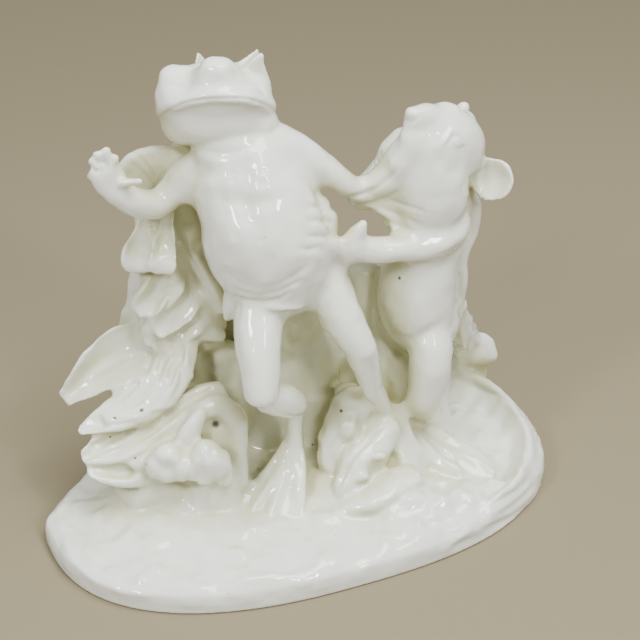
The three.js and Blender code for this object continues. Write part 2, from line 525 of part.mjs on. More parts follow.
const forms = [
  plinth(),
  ...rockwork(),
  ...backLeaves(),
  ...lilyLeaf(),
  ...curledLeaves(),
  ...spreadLeaves(),
  ...hoodAndBud(),
  ...shellAndLeaf(),
  ...frogTrunk(),
  ...frogHead(),
  ...crown(),
  ...frogArms(),
  ...frogLegs(),
  ...mouseTrunk(),
  ...mouseHead(),
  ...mouseArms(),
];

// All forms fused, as a geometry of plain triangles.
function fused(solids) {
  const mesh = solids.reduce((whole, solid) => whole.add(solid)).getMesh();
  const geometry = new THREE.BufferGeometry();
  geometry.setAttribute('position', new THREE.BufferAttribute(mesh.vertProperties, 3));
  geometry.setIndex(new THREE.BufferAttribute(mesh.triVerts, 1));
  return geometry;
}

const figure = new THREE.Mesh(fused(forms), glazedPorcelain);
figure.name = 'porcelain_group';
figure.rotation.z = -PLINTH_TURN;

const group = new THREE.Group();
group.add(figure);

export default group;
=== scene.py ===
"""White glazed porcelain group of a crowned frog and a mouse among water plants and rock.

The figure is laid out in millimetres in a frame of its own, in which both animals face -Y,
and is turned on its plinth at the end. Every form is a closed surface worked out from two
parameters; all of them are fused into one skin, as the joined clay is before it is fired.
"""

import itertools
import math

import bpy
import numpy as np
import openvdb as vdb
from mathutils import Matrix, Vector


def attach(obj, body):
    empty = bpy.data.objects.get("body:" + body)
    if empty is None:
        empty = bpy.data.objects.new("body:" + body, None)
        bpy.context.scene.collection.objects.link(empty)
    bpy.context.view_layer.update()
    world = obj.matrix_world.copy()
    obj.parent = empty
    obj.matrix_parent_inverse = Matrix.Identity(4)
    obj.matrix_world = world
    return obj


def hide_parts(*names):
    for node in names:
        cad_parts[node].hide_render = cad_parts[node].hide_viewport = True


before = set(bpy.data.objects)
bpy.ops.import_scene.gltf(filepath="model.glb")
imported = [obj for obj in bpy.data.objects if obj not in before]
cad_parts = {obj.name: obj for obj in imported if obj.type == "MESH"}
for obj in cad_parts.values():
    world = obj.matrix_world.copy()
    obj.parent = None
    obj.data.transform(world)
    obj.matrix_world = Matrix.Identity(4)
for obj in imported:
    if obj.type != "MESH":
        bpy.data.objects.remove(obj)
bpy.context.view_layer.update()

# Plinth, in millimetres: a superellipse in plan, turned under the figures. It is drawn a hair
# less than 240 by 157, so that the unevenness of the skin stays within the solid's box.
PLINTH_LENGTH = 239.2
PLINTH_WIDTH = 156.4
PLINTH_SQUARENESS = 2.45
SOFTER_BACK_LEFT = 1.03
SOFTER_BACK_RIGHT = 0.4
PLINTH_TURN = math.radians(23)
EDGE_HEIGHT = 9
EDGE_TUCK = 0.975

# Ground on the plinth: its level, the pool at the right end and the pool's rim.
GROUND_LEVEL = 13
POOL_DEPTH = 5
POOL_RIM = 4.4
POOL_BUBBLES = [(77, 51, 3.0), (84, 58, 2.6), (91, 52, 2.8), (85, 41, 3.2), (95.6, 63, 2.4), (100, 54, 2.6),
                (73, 41, 2.4), (104, 43, 2.2), (90, 69, 2.2), (81, 66, 2.0), (78, 46, 1.6), (70, 50, 2.2)]

# Camera of the picture, in the figures' frame: what it looks at, how far off, how high.
TARGET = np.array([10.9, 0.0, 90.9])
DISTANCE = 750.0
ELEVATION = math.radians(32)
LENS = 95.6

# Skin: the grid it is fused on and the radii its creases are filled to, in millimetres.
VOXEL = 0.7
BODY_FILLET = 4.5
HEAD_FILLET = 2.6
ROCK_FILLET = 1.6
PLANT_FILLET = 0.9
FINE_FILLET = 0.8
JOIN_FILLET = 1.1
MAX_TRIANGLES = 190000

# Unevenness of the clay: height and size in millimetres and the seed of each layer of noise.
LIMB_GRAIN = [(1, 7.0, 5), (0.5, 3.4, 6)]
RUBBLE_GRAIN = [(1.9, 6.0, 11), (1.1, 3.2, 12)]
GROUND_GRAIN = [(0.9, 12.0, 13), (1.1, 5.5, 14), (0.6, 3.0, 15)]
THUMB_GRAIN = [(0.45, 11.0, 21), (0.3, 5.5, 22), (0.12, 2.7, 23)]

# Dark spots, pinholes and the hood's hole in painted shade: radius of the dark core and of the faded edge, in
# metres per millimetre of size.
SPOT_CORE = 0.0004
SPOT_EDGE = 0.0011

# A millimetre in metres, the millimetres in a metre, and half the floor's side in metres.
MM = 0.001
MM_IN_METRE = 1000
FLOOR_REACH = 6.0

FRONT = (0, -1, 0)
UP = (0, 0, 1)


def smooth(value, low, high):
    """Smoothstep: 0 below low, 1 above high, 3s^2 - 2s^3 between."""
    share = np.clip((value - low) / (high - low), 0, 1)
    return share * share * (3 - 2 * share)


def bell(value, centre, width):
    """Gaussian bump exp(-((value - centre) / width)^2)."""
    return np.exp(-(((value - centre) / width) ** 2))


def along(rows, t):
    """Uniform Catmull-Rom curve through a table's rows, at t from 0 to 1 (any array of t)."""
    rows = np.asarray(rows, float)
    place = np.clip(t, 0, 1) * (len(rows) - 1)
    i = np.minimum(place.astype(int), len(rows) - 2)
    f = (place - i)[..., None]
    p0, p1, p2, p3 = (rows[np.clip(i + k, 0, len(rows) - 1)] for k in (-1, 0, 1, 2))
    bend = 2 * p0 - 5 * p1 + 4 * p2 - p3
    twist = 3 * p1 - p0 - 3 * p2 + p3
    return p1 + 0.5 * f * (p2 - p0 + f * (bend + f * twist))


def unit(vectors):
    """Vectors divided by their lengths."""
    return vectors / np.maximum(np.linalg.norm(vectors, axis=-1, keepdims=True), 1e-9)


def clay_noise(points, size, seed):
    """Smooth random field from -1 to 1: random values on a cubic lattice of the given spacing,
    blended between a cell's eight corners by smoothstep weights."""
    table = np.random.default_rng(seed).uniform(-1, 1, (32, 32, 32))
    cell = points / size
    low = np.floor(cell).astype(int)
    part = cell - low
    part = part * part * (3 - 2 * part)
    total = np.zeros(points.shape[:-1])
    for corner in itertools.product((0, 1), repeat=3):
        weight = np.prod(np.where(corner, part, 1 - part), axis=-1)
        i, j, k = np.moveaxis((low + corner) % 32, -1, 0)
        total += weight * table[i, j, k]
    return total


def uneven(points, grain):
    """Sum of the noises of a grain, each a height, a size and a seed."""
    return sum(height * clay_noise(points, size, seed) for height, size, seed in grain)


def circle(count):
    """Angles of equal steps round a full turn, the end left out."""
    return np.linspace(0, 2 * math.pi, count, endpoint=False)


def closed(grid):
    """A grid of points [ring, side] as a closed surface: quads join each ring to the next and
    the last side to the first, and the first and last ring are poles."""
    rings, sides = grid.shape[:2]
    first = np.arange(rings - 1)[:, None] * sides + np.arange(sides)
    after = np.arange(rings - 1)[:, None] * sides + (np.arange(sides) + 1) % sides
    quads = np.stack([first, after, after + sides, first + sides], -1)
    return grid.reshape(-1, 3), quads.reshape(-1, 4)


def limb(rows, sides=40, steps=44, caps=8, face=FRONT, ends=(1, 1), profile=None, rough=0.0):
    """Oval section carried along a path, with rounded ends.

    Each row is x, y, z, half width, half depth. Section: centre + across * width * cos(a)
    + through * depth * sin(a), across = heading x face and through = across x heading, so
    depth points to face. Over each end the section shrinks as a quarter circle. profile
    changes the cos and sin shares from the place along t and the cap's swell, and rough lays
    soft clay marks of that height on top."""
    table = np.asarray(rows, float)
    length = np.linalg.norm(np.diff(table[:, :3], axis=0), axis=1).sum()
    cap = [float(np.clip(ends[k] * table[-k, 3:5].max() / length, 0.01, 0.4)) for k in (0, 1)]
    turn = np.linspace(0, math.pi / 2, caps + 1)[:-1]
    body = np.linspace(cap[0], 1 - cap[1], steps + 1)
    t = np.concatenate([cap[0] * (1 - np.cos(turn)), body, 1 - cap[1] * (1 - np.cos(turn[::-1]))])
    swell = np.concatenate([np.sin(turn), np.ones(steps + 1), np.sin(turn[::-1])])
    spots = along(table, t)
    heading = unit(along(table, t + 0.02)[:, :3] - along(table, t - 0.02)[:, :3])
    across = unit(np.cross(heading, np.asarray(face, float)))
    through = np.cross(across, heading)
    angle = circle(sides)
    wide, deep = np.broadcast_arrays(np.cos(angle)[None], np.sin(angle)[None])
    if profile:
        wide, deep = profile(wide, deep, t[:, None], swell[:, None])
    sideways = across[:, None] * (spots[:, 3:4] * wide)[..., None]
    forwards = through[:, None] * (spots[:, 4:5] * deep)[..., None]
    out = sideways + forwards
    grid = spots[:, None, :3] + swell[:, None, None] * out
    if rough:
        marks = uneven(grid, LIMB_GRAIN)
        grid = grid + swell[:, None, None] * unit(out) * (rough * marks)[..., None]
    return closed(grid)


def lump(centre, radii, sides=48, rings=32, rough=0.0):
    """Ellipsoid: centre + radii * (sin p cos a, sin p sin a, cos p)."""
    down = np.linspace(0, math.pi, rings + 1)[:, None]
    angle = circle(sides)[None]
    x, y = np.sin(down) * np.cos(angle), np.sin(down) * np.sin(angle)
    out = np.stack(np.broadcast_arrays(x, y, np.cos(down)), -1)
    grid = np.asarray(centre) + np.asarray(radii) * out
    if rough:
        grid = grid + out * (rough * clay_noise(grid, 5.0, 8))[..., None]
    return closed(grid)


def dish(centre, radii, normal, bowl, wall, fold=0.0):
    """Round dish that opens towards normal: radius r runs 0 to 1 over the front and back to 0
    behind, height = bowl * r^2 in front and less the wall behind, with a rounded rim."""
    normal = unit(np.asarray(normal, float))
    across = unit(np.cross(normal, UP))
    upright = np.cross(across, normal)
    s = np.linspace(0, 1, 49)[:, None]
    r = np.sin(math.pi * s)
    height = bowl * r**2 + wall * np.cos(math.pi * s)
    angle = circle(56)[None]
    height = height + fold * bell(np.cos(angle), -1, 0.5) * r**3 * (s < 0.5)
    grid = (
        np.asarray(centre, float)
        + (radii[0] * r * np.cos(angle))[..., None] * across
        + (radii[1] * r * np.sin(angle))[..., None] * upright
        + (height + 0 * angle)[..., None] * normal
    )
    return closed(grid)


def blade(cup=0.0, ribs=0.0, rib=0.0, thin=0.5, rim=0.0, curl=0.0, wave=0.0):
    """Section of a leaf: through = thin * sin^0.35 + cup * c^2 + rib * cos(ribs pi c) fading at both
    ends + rim at the edge + curl of the tip + wave along it, where c is the place across; the
    thickness keeps its share longer than the width does where the end closes."""

    def section(wide, deep, t, swell):
        fade = np.sin(math.pi * np.clip(t, 0.06, 0.94))
        blunt = np.maximum(swell, 0.2) ** -0.6
        shape = thin * blunt * np.sign(deep) * np.abs(deep) ** 0.35 + cup * wide**2
        shape = shape + rib * np.cos(ribs * math.pi * wide) * fade
        shape = shape + rim * smooth(np.abs(wide), 0.72, 0.95) * fade + curl * t**3
        return wide, shape + wave * np.sin(3.2 * math.pi * t + 2 * wide) * np.abs(wide)

    return section


def leaf(rows, face=FRONT, ends=(0.5, 0.5), rough=0.15, **shape):
    """A limb with a leaf's section."""
    return limb(rows, face=face, ends=ends, profile=blade(**shape), rough=rough)


def ground_height(x, y, out):
    """Height of the ground: level + rim + land - pool, out being 1 on the plinth's edge."""

    def hill(height, right, back, length, width):
        """height * exp(-((x - right) / length)^2 - ((y - back) / width)^2)."""
        return height * np.exp(-(((x - right) / length) ** 2) - (((y - back) / width) ** 2))

    towards_pool = 0.9 * x + 0.45 * y
    pool = smooth(towards_pool, 62, 76) * (1 - smooth(out, 0.85, 0.905))
    pool = pool * smooth(y + 0.45 * (x - 84), -16, -2)
    rim = POOL_RIM * bell(out, 0.945, 0.034) * smooth(towards_pool, 52, 76)
    mound = hill(9, 2, -2, 52, 34)
    bank = hill(4.5, 66, -30, 32, 15)
    skirts = hill(10, -54, -37, 34, 19) + hill(6, 34, -24, 22, 15)
    waves = 0.8 * np.sin(x / 5.5 + y / 9) * np.sin(y / 7 - x / 17)
    land = (mound + bank + skirts + waves) * (1 - pool) * (1 - smooth(out, 0.8, 1))
    edge = 1 - 0.24 * smooth(out, 0.94, 1)
    place = np.stack([x, y, 0 * x], -1)
    rubble = smooth(x, 20, 48) * smooth(-y, 8, 22) * (1 - smooth(out, 0.9, 0.98)) * (1 - pool)
    marks = rubble * uneven(place, RUBBLE_GRAIN)
    marks = marks + uneven(place, GROUND_GRAIN) * (1 - smooth(out, 0.92, 1))
    bubbles = sum(
        1.4 * np.sqrt(np.clip(1 - ((x - bx) ** 2 + (y - by) ** 2) / (1.25 * radius) ** 2, 0, 1))
        for bx, by, radius in POOL_BUBBLES
    )
    return (GROUND_LEVEL + rim + land - POOL_DEPTH * pool) * edge + marks + bubbles * pool


def plan_reach(angle):
    """Distance from the plinth's middle to its edge at an angle from its long axis: the
    superellipse |x/a|^n + |y/b|^n = 1, n being less at the back corners."""
    softer = SOFTER_BACK_LEFT * bell(angle, 2.85, 0.85) + SOFTER_BACK_RIGHT * bell(angle, 0.42, 0.3)
    power = PLINTH_SQUARENESS - softer * smooth(np.sin(angle), 0, 0.12)
    long_share = (np.abs(np.cos(angle)) / (PLINTH_LENGTH / 2)) ** power
    short_share = (np.abs(np.sin(angle)) / (PLINTH_WIDTH / 2)) ** power
    return (long_share + short_share) ** (-1 / power)


def pool_rim():
    """Roll of clay round the pool, carried along the plinth's edge a little way in."""
    angle = np.radians(np.linspace(-30, 78, 28))
    reach = 0.93 * plan_reach(angle)
    x, y = reach * np.cos(angle + PLINTH_TURN), reach * np.sin(angle + PLINTH_TURN)
    level = 15.4 + 1.2 * np.sin(math.pi * np.linspace(0, 1, 28))
    thickness = 0 * angle + 2.3
    rows = np.stack([x, y, level, thickness, thickness], -1)
    return [limb(rows, sides=24, steps=160, face=UP, rough=0.3)]


def plinth():
    """Rings run from the underside's middle, out, up the edge and in again over the ground,
    each a share of the plan's reach."""
    angle = circle(420)[None]
    reach = plan_reach(angle)
    wall_rows = [[0.995, 0.25 * EDGE_HEIGHT], [1, 0.6 * EDGE_HEIGHT], [0.995, EDGE_HEIGHT]]
    edge = along([[0, 0], [0.5, 0], [EDGE_TUCK, 0], *wall_rows], np.linspace(0, 1, 40))
    inwards = np.linspace(0.99, 0, 110)
    out = np.concatenate([edge[:, 0], inwards])[:, None]
    out = np.clip(out, 0, 1)
    x = out * reach * np.cos(angle + PLINTH_TURN)
    y = out * reach * np.sin(angle + PLINTH_TURN)
    ground = ground_height(x, y, out + 0 * x)
    wall = np.concatenate([np.maximum(edge[:, 1], 0), 0 * inwards])[:, None] + 0 * x
    z = np.where(np.arange(len(out))[:, None] < len(edge), wall, ground)
    z[-1] = z[-1].mean()
    return [closed(np.stack([x, y, z], -1))]


def gnarl(wide, deep, t, swell):
    """Rock section: 1 + 0.14 sin(3a + 7t) + 0.08 sin(7a - 4t) times the oval."""
    angle = np.arctan2(deep, wide)
    bulge = 1 + 0.14 * np.sin(3 * angle + 7 * t) + 0.08 * np.sin(7 * angle - 4 * t)
    return wide * bulge, deep * bulge


def rockwork():
    """Rock that rises behind the figures and carries them and the plants."""
    rock = dict(sides=96, steps=80, ends=(0.1, 0.6), profile=gnarl, rough=1.3)
    return [
        limb([[6, 30, 4, 60, 38], [4, 31, 30, 48, 30], [0, 30, 58, 38, 25], [8, 31, 82, 34, 19],
              [24, 34, 100, 18, 10]], **rock),
        limb([[-56, 8, 4, 38, 32], [-58, 9, 34, 29, 23], [-58, 9, 66, 23, 19], [-56, 9, 98, 15.5, 13],
              [-57, 9, 128, 12, 10], [-57, 12, 160, 9, 6]], **rock),
        limb([[-40, 4, 74, 10, 8], [-42, 1, 90, 11, 8], [-45, 2, 106, 8, 7]], rough=1.0),
        limb([[85, 73, 8, 8, 3.4], [84, 70, 26, 8, 4.6], [80, 60, 44, 7, 6], [77, 44, 60, 6, 8],
              [74, 31, 77, 5, 6], [73, 22, 88, 4, 4]], **{**rock, "rough": 0.9}),
        limb([[47, -12, 6, 18, 12], [47, -11, 18, 13, 9], [47, -7, 28, 6, 6]], ends=(0.1, 0.6), rough=0.8),
        limb([[54, 32, 4, 20, 20], [53, 31, 40, 15, 15], [54, 28, 80, 13, 11]], **rock),
        limb([[36, 22, 4, 20, 18], [37, 20, 36, 16, 13], [38, 20, 66, 13, 11], [41, 23, 94, 11, 9]], **rock),
        limb([[31, 21, 56, 10, 7], [31, 21, 88, 9.6, 7], [31, 21.4, 106.5, 9, 6.4]], rough=1.1),
        limb([[-2, 20, 60, 18, 14], [-6, 8, 96, 14, 12], [-8, 0, 118, 12, 9]], rough=1),
        limb([[50, 5, 14, 10, 9], [49, 6.5, 36, 9, 8], [48, 8, 56, 8, 7], [47.5, 10, 68, 6, 6]], rough=0.8),
        limb([[-32, 4, 20, 12, 10], [-32, 4, 50, 11, 9], [-31, 4, 76, 9, 8]], rough=1.2),
        limb([[-45, 6, 112, 8, 6], [-46, 7, 130, 7, 6], [-46, 7, 148, 7, 5], [-46, 7, 166, 6, 5]], rough=1.2),
        limb([[80, 67, 30, 6, 9], [88, 69, 31, 6, 9], [94, 70, 27, 4.6, 6.6], [98, 70, 24, 2.6, 3]], face=UP,
             rough=0.8),
    ]


def stalks():
    """Reeds and stems on the rock, behind the frog and between its legs."""
    rows = [
        [[8, 2, 12, 4, 4], [7, 6, 40, 3.6, 4], [9, 10, 66, 3.4, 4], [6, 12, 96, 3, 4]],
        [[14, 6, 16, 3, 3], [17, 8, 40, 2.6, 3], [18, 10, 66, 2.4, 3], [20, 14, 90, 2.4, 3]],
        [[-42, -2, 20, 4, 4], [-44, -3, 50, 4.4, 5], [-46, 0, 78, 4, 5], [-42, 6, 104, 3, 4]],
        [[-30, -2, 96, 3.0, 4], [-38, 0, 112, 3.4, 4], [-46, 2, 126, 3.2, 4], [-53, 4, 143, 2.6, 4]],
        [[-36, 6, 90, 3, 4], [-43, 6, 108, 3.2, 4], [-49, 7, 124, 3.2, 4], [-55, 8, 142, 2.6, 4]],
        [[-24, 8, 96, 3, 4], [-31, 9, 112, 3.2, 4], [-38, 9.6, 124, 3, 4], [-46, 10, 136, 2.6, 4]],
    ]
    return [limb(row, sides=20, steps=30, caps=5, rough=0.4) for row in rows]


def back_leaves():
    """Broad leaves on the side turned away, plainer than those in front."""
    broad = [
        [[-42, 18, 96, 3, 3], [-45, 24, 84, 9, 3.2], [-50, 30, 70, 12.5, 3.4], [-55, 34.5, 54, 11.5, 3.2],
         [-60, 39, 38, 6.5, 3], [-64, 43, 26, 1.6, 2.4]],
        [[7, 44, 104, 3, 3], [5, 51, 91, 9.6, 3.2], [3, 58, 75, 14, 3.4], [2, 62.5, 57, 13, 3.2],
         [-1, 68, 40, 7.4, 3], [-5, 72, 27, 1.8, 2.4]],
        [[37, 34, 90, 3, 3], [39, 40, 78, 8, 3.2], [42, 47, 63, 11, 3.4], [45, 53, 47, 10, 3.2],
         [49, 59, 31, 5.4, 3], [53, 63, 20, 1.6, 2.4]],
    ]
    return [leaf(rows, face=(0, 1, 0.2), cup=-0.9, ribs=6, rib=0.16, thin=0.6, wave=0.5, ends=(0.5, 0.3),
                 rough=0.5) for rows in broad]


def lily_leaf():
    """Round bowl on top of the clump, open to the viewer, fine ribs fanning up to its rolled edge."""
    bowl = [[-57, 5, 138, 6, 4], [-57.5, 5, 147, 12.5, 4], [-58, 5, 156, 15.6, 4],
            [-58, 4.6, 164.5, 14.6, 3.8], [-57.5, 3, 171.5, 9.6, 3.4]]
    roll = [[-74, 3, 155, 2, 2.4], [-72.6, 3, 163, 2.4, 2.6], [-66.5, 3, 169.6, 2.6, 2.8],
            [-57, 3, 172.4, 2.6, 2.8], [-47, 3, 170.6, 2.6, 2.8], [-42, 4, 161, 2.4, 2.6]]
    return [
        leaf(bowl, cup=0.16, ribs=9, rib=0.13, thin=0.9, rough=0.35),
        limb(roll, sides=24, steps=50, rough=0.25),
        lump([-46, 6.5, 168], [8, 4, 8], rough=0.4),
    ]


def curled_leaves():
    """Curled leaves down the left side of the clump: tiers of paired lobes with thick rims."""
    tiers = [
        [[-63, 3, 147, 2.6, 3.4], [-64.4, 0, 138.5, 3, 3.6], [-66.2, -3, 131, 6, 4.6],
         [-66.6, -5, 125.6, 6.6, 4.8], [-66.2, -6, 120, 3.8, 3.6]],
        [[-53, 3, 147, 2.6, 3.4], [-54, -1, 139, 3, 3.6], [-55.2, -4, 131, 5.6, 4.6],
         [-55.8, -6, 125.6, 6.2, 4.8], [-56, -7, 119.6, 3.6, 3.6]],
        [[-50, 2, 117, 6, 4.4], [-57, -1, 111.5, 8, 5], [-64, -4, 106, 7, 5], [-71, -5, 100.5, 3, 3.4]],
        [[-46, 2, 107, 6, 4.4], [-51, -2, 101.5, 7.4, 5], [-57, -5, 96.5, 7, 5], [-63.5, -6.5, 92.5, 4, 3.6]],
        [[-44, 3, 100, 7, 5], [-50, -1, 95, 9, 5], [-58, -3, 90, 10, 5], [-68, -4, 87, 7, 4.4]],
    ]
    return [leaf(rows, cup=0.8, thin=0.75, rim=0.25, curl=0.9, ends=(0.8, 1.1), rough=1.2,
                 wave=0.3) for rows in tiers] + [
        lump([-60, 1, 143], [5, 4, 9], rough=0.8),
        lump([-62, -3, 116], [5.4, 4, 4.4], rough=0.8),
        lump([-53, -3, 114.5], [4.4, 3, 3.2], rough=0.8),
        lump([-54, -6, 106], [3.4, 3, 3.2], rough=0.6),
        lump([-61, -1, 128], [4, 4, 7], rough=0.6),
    ]


def spread_leaves():
    """Large leaves that spread to the left: a drooping bowl, a ribbed sheet over it, a fan below."""
    drooping = [[-54, 3, 78, 10, 4.4], [-66, 1, 76.4, 12, 4.8], [-78, -3, 72.4, 12.6, 5],
                [-89, -8, 67.4, 9.6, 5], [-97.5, -12, 61.6, 5.8, 4.4], [-103, -14, 57.6, 3.6, 3.6]]
    ribbed = [[-54, 2, 88, 10, 4], [-56, -5, 81, 14, 4.6], [-61, -13, 73, 15.5, 5], [-70, -22, 65, 13, 4.8],
              [-84, -30, 59, 5.4, 3.6]]
    fan_upper = [[-46, -6, 62, 9, 4.4], [-62, -16, 59, 11, 4.8], [-78, -26, 56.5, 9, 4.6],
                 [-94.5, -34, 53.8, 2, 2.4]]
    fan_middle = [[-44, -12, 52, 10, 5], [-60, -22, 50, 12, 5], [-76, -31, 46.5, 11, 4.8],
                  [-93.5, -39, 43.6, 3.2, 3]]
    fan_lower = [[-40, -16, 40, 12, 6], [-58, -26, 39.6, 13, 6], [-76, -36, 38.6, 11, 5.4],
                 [-91, -43, 40.5, 3.6, 3.2]]
    sweep = [[-30, -17, 64, 6, 4], [-38, -21, 63, 9, 4.4], [-49, -26, 57, 12, 4.8], [-62, -31, 49, 12.5, 4.6],
             [-76, -37, 44, 8, 4]]
    base = [[-44, -14, 20, 13, 15], [-60, -26, 20, 15, 16], [-78, -37, 21, 12, 13]]
    return [
        leaf(drooping, cup=1.2, ribs=3, rib=0.16, thin=0.42, rim=0.55, wave=0.5, rough=1.1,
             face=(0.25, -0.7, 0.7), ends=(0.5, 0.5)),
        leaf(ribbed, cup=-0.7, ribs=5, rib=0.42, thin=0.4, rough=0.3, face=(-0.5, -0.5, 0.7),
             ends=(0.5, 0.3)),
        leaf(fan_upper, cup=0.9, ribs=3, rib=0.4, thin=0.36, rough=0.4, face=(0, -0.5, 0.85),
             ends=(0.5, 0.3)),
        leaf(fan_middle, cup=1.1, ribs=3, rib=0.5, thin=0.36, rough=0.4, face=(0, -0.7, 0.7),
             ends=(0.5, 0.3)),
        leaf(fan_lower, cup=0.9, ribs=3, rib=0.4, thin=0.38, rough=0.5, face=(0, -0.8, 0.6), ends=(0.5, 0.3)),
        leaf(sweep, cup=-0.3, ribs=3, rib=0.3, thin=0.5, rough=0.3, face=(-0.2, -0.7, 0.7)),
        limb(base, face=UP, rough=0.8),
        limb([[-48, -1, 84, 2.6, 2.8], [-42, -4, 86.5, 3.8, 3.2], [-35, -5, 86.5, 3.4, 3],
              [-31, -4, 85, 2.2, 2.2]], sides=24, rough=0.3),
    ]


def squared(wide, deep, t, swell):
    """Section with flattened sides: each share to the power 0.75, sign kept."""
    return np.sign(wide) * np.abs(wide) ** 0.75, np.sign(deep) * np.abs(deep) ** 0.75


def hood_and_bud():
    """Hooded leaf arching over its tongue, with the double bud in front, on a short column."""
    arch = [[-49, -33, 42, 3.4, 4], [-47, -31, 52, 3.6, 4.6], [-42, -27, 59.5, 4.4, 5.4],
            [-34.5, -24, 61.5, 5.4, 6], [-28, -24, 56, 6, 6], [-26, -26, 46, 5.6, 5.6],
            [-26, -29, 34, 5.4, 5.4], [-26, -32, 20, 6, 6]]
    lining = [[-37, -27, 28, 12, 5], [-36, -27, 44, 11, 5], [-36, -26.5, 55, 8, 4]]
    tongue = [[-49, -37, 45, 2.4, 2.4], [-47, -36.5, 52, 4.8, 3], [-43.4, -34, 58.5, 4, 2.8],
              [-39.4, -31, 64.5, 1.8, 1.8]]
    column = [[-40, -34, 4, 24, 17], [-39, -34, 15, 19, 13], [-38, -34, 27, 13, 10], [-38, -33, 40, 9, 7.4]]
    left_bud = [[-48, -39, 47, 5, 5], [-53, -41, 45.5, 8, 6.4], [-58, -42, 42, 8, 6.4],
                [-61, -42, 39.5, 5.4, 5]]
    right_bud = [[-45, -40, 44, 6.6, 5.4], [-40, -42, 44, 9.4, 6.6], [-34.5, -42, 43, 9.2, 6.6],
                 [-31.5, -41, 41, 7, 5.4]]
    return [
        limb(arch, steps=60, rough=0.5),
        limb(lining, rough=0.5),
        limb(tongue, sides=28, rough=0.1),
        limb(column, ends=(0.2, 1), rough=0.6),
        limb(left_bud, ends=(0.5, 0.5), profile=squared, rough=2.0),
        limb(right_bud, ends=(0.5, 0.5), profile=squared, rough=2.0),
        lump([-54.5, -43, 49.5], [5.4, 5, 4.4], rough=1.2),
        lump([-38, -43, 50.5], [6.4, 5, 4.4], rough=1.2),
        lump([-46.5, -43, 43], [7, 6, 7.4], rough=1.4),
        lump([-60, -44, 42.5], [5, 4, 6], rough=1.2),
        lump([-31.6, -43.4, 44.5], [4.6, 4, 6], rough=1.2),
        limb([[-34, -41.5, 50, 3.4, 3], [-31, -42.6, 44, 4, 3.4], [-30.4, -42.4, 37, 3.4, 3],
              [-31, -41, 31, 2, 2.4]], profile=squared, rough=0.8),
    ]


def shell_and_leaf():
    """Half-open shell leaning against the rock, and the flat leaf before it."""
    upper = [[15, -22, 22, 5, 5], [20, -15, 31, 11, 6], [27, -9, 42, 14, 7], [33, -4, 50, 11, 6],
             [36, 0, 54, 5, 4]]
    lower = [[19, -33, 17, 3, 4], [26, -28, 24, 8.6, 6], [34, -20, 32, 10, 7], [42, -12, 39, 7.6, 5.4],
             [46, -9, 42, 3, 3]]
    flat = [[20, -38, 14, 4, 3], [30, -36, 18, 8, 4], [43, -29, 21, 9, 5], [55, -22, 21, 6, 5]]
    lean = (0.6, -0.7, 0.35)
    return [
        limb([[24, -4, 10, 14, 12], [25, -1, 30, 10.4, 10], [24, 1, 46, 7, 7], [22.5, 1, 55, 5.6, 5.4]],
             rough=1.5),
        leaf(upper, cup=-0.4, ribs=5, rib=0.14, thin=0.8, face=lean, ends=(0.8, 0.8), rough=2.0),
        leaf(lower, cup=-0.3, thin=0.7, rim=-0.4, face=lean, ends=(0.7, 0.7), rough=0.9),
        limb(flat, face=UP, ends=(0.5, 0.5), profile=squared, rough=0.9),
        lump([23.5, -16, 44], [5, 4, 5], rough=1),
        lump([31, -9, 51], [6, 4, 5], rough=1),
        lump([44, -12, 17], [8, 7, 8], rough=0.5),
        lump([37, -25, 35], [3.8, 2.4, 2.2]),
        lump([30, -30.5, 27.5], [3.4, 2.4, 2]),
    ]


def frog_trunk():
    """Chest and belly, the chest swelling to both sides and the middle a little hollowed."""

    def torso(wide, deep, t, swell):
        chest = 0.07 * bell(np.abs(wide), 0.5, 0.22) * bell(t, 0.7, 0.13) * smooth(deep, 0.2, 0.7)
        middle = 0.06 * bell(wide, 0, 0.12) * smooth(deep, 0.3, 0.8) * bell(t, 0.62, 0.2)
        return wide, deep * (1 + chest - middle)

    trunk = [[-7, -8, 104, 12, 11], [-7, -12, 116, 20, 17], [-9, -15, 128, 25, 20],
             [-12, -15, 140, 26.5, 21.5], [-15, -12.6, 152, 25, 20], [-20, -9, 163, 23.5, 17],
             [-23, -6.4, 172, 21.5, 14.4], [-27, -5, 180, 16, 12], [-31, -3, 190, 14, 11]]
    return [limb(trunk, sides=96, steps=90, profile=torso)]


def frog_cloth():
    """Cloth round the hips: folds run round it and its hem ripples."""

    def folds(wide, deep, t, swell):
        ripple = 0.03 * np.sin(16 * t + 2.5 * wide) + 0.025 * np.sin(9 * np.arctan2(deep, wide)) * t
        return wide * (1 + ripple), deep * (1 + ripple)

    cloth = [[-9, -13, 126, 21, 18.5], [-9, -15, 118.5, 19.5, 19.2], [-9.5, -17, 111.5, 17.5, 18.5]]
    tip = [[-22, -19, 124, 5, 5], [-26, -21, 114, 4.5, 4.5], [-29, -22, 104, 1.6, 1.8]]
    flank = [[5, -5, 158, 3, 4], [11, -6, 151, 4, 6], [14, -7, 141, 4.6, 7], [12, -9, 130, 4.4, 7],
             [8, -10, 122, 4, 5]]
    return [
        limb(cloth, sides=96, steps=60, ends=(0.3, 0.08), profile=folds),
        limb(tip, sides=32),
        limb(flank, rough=1.1),
    ]


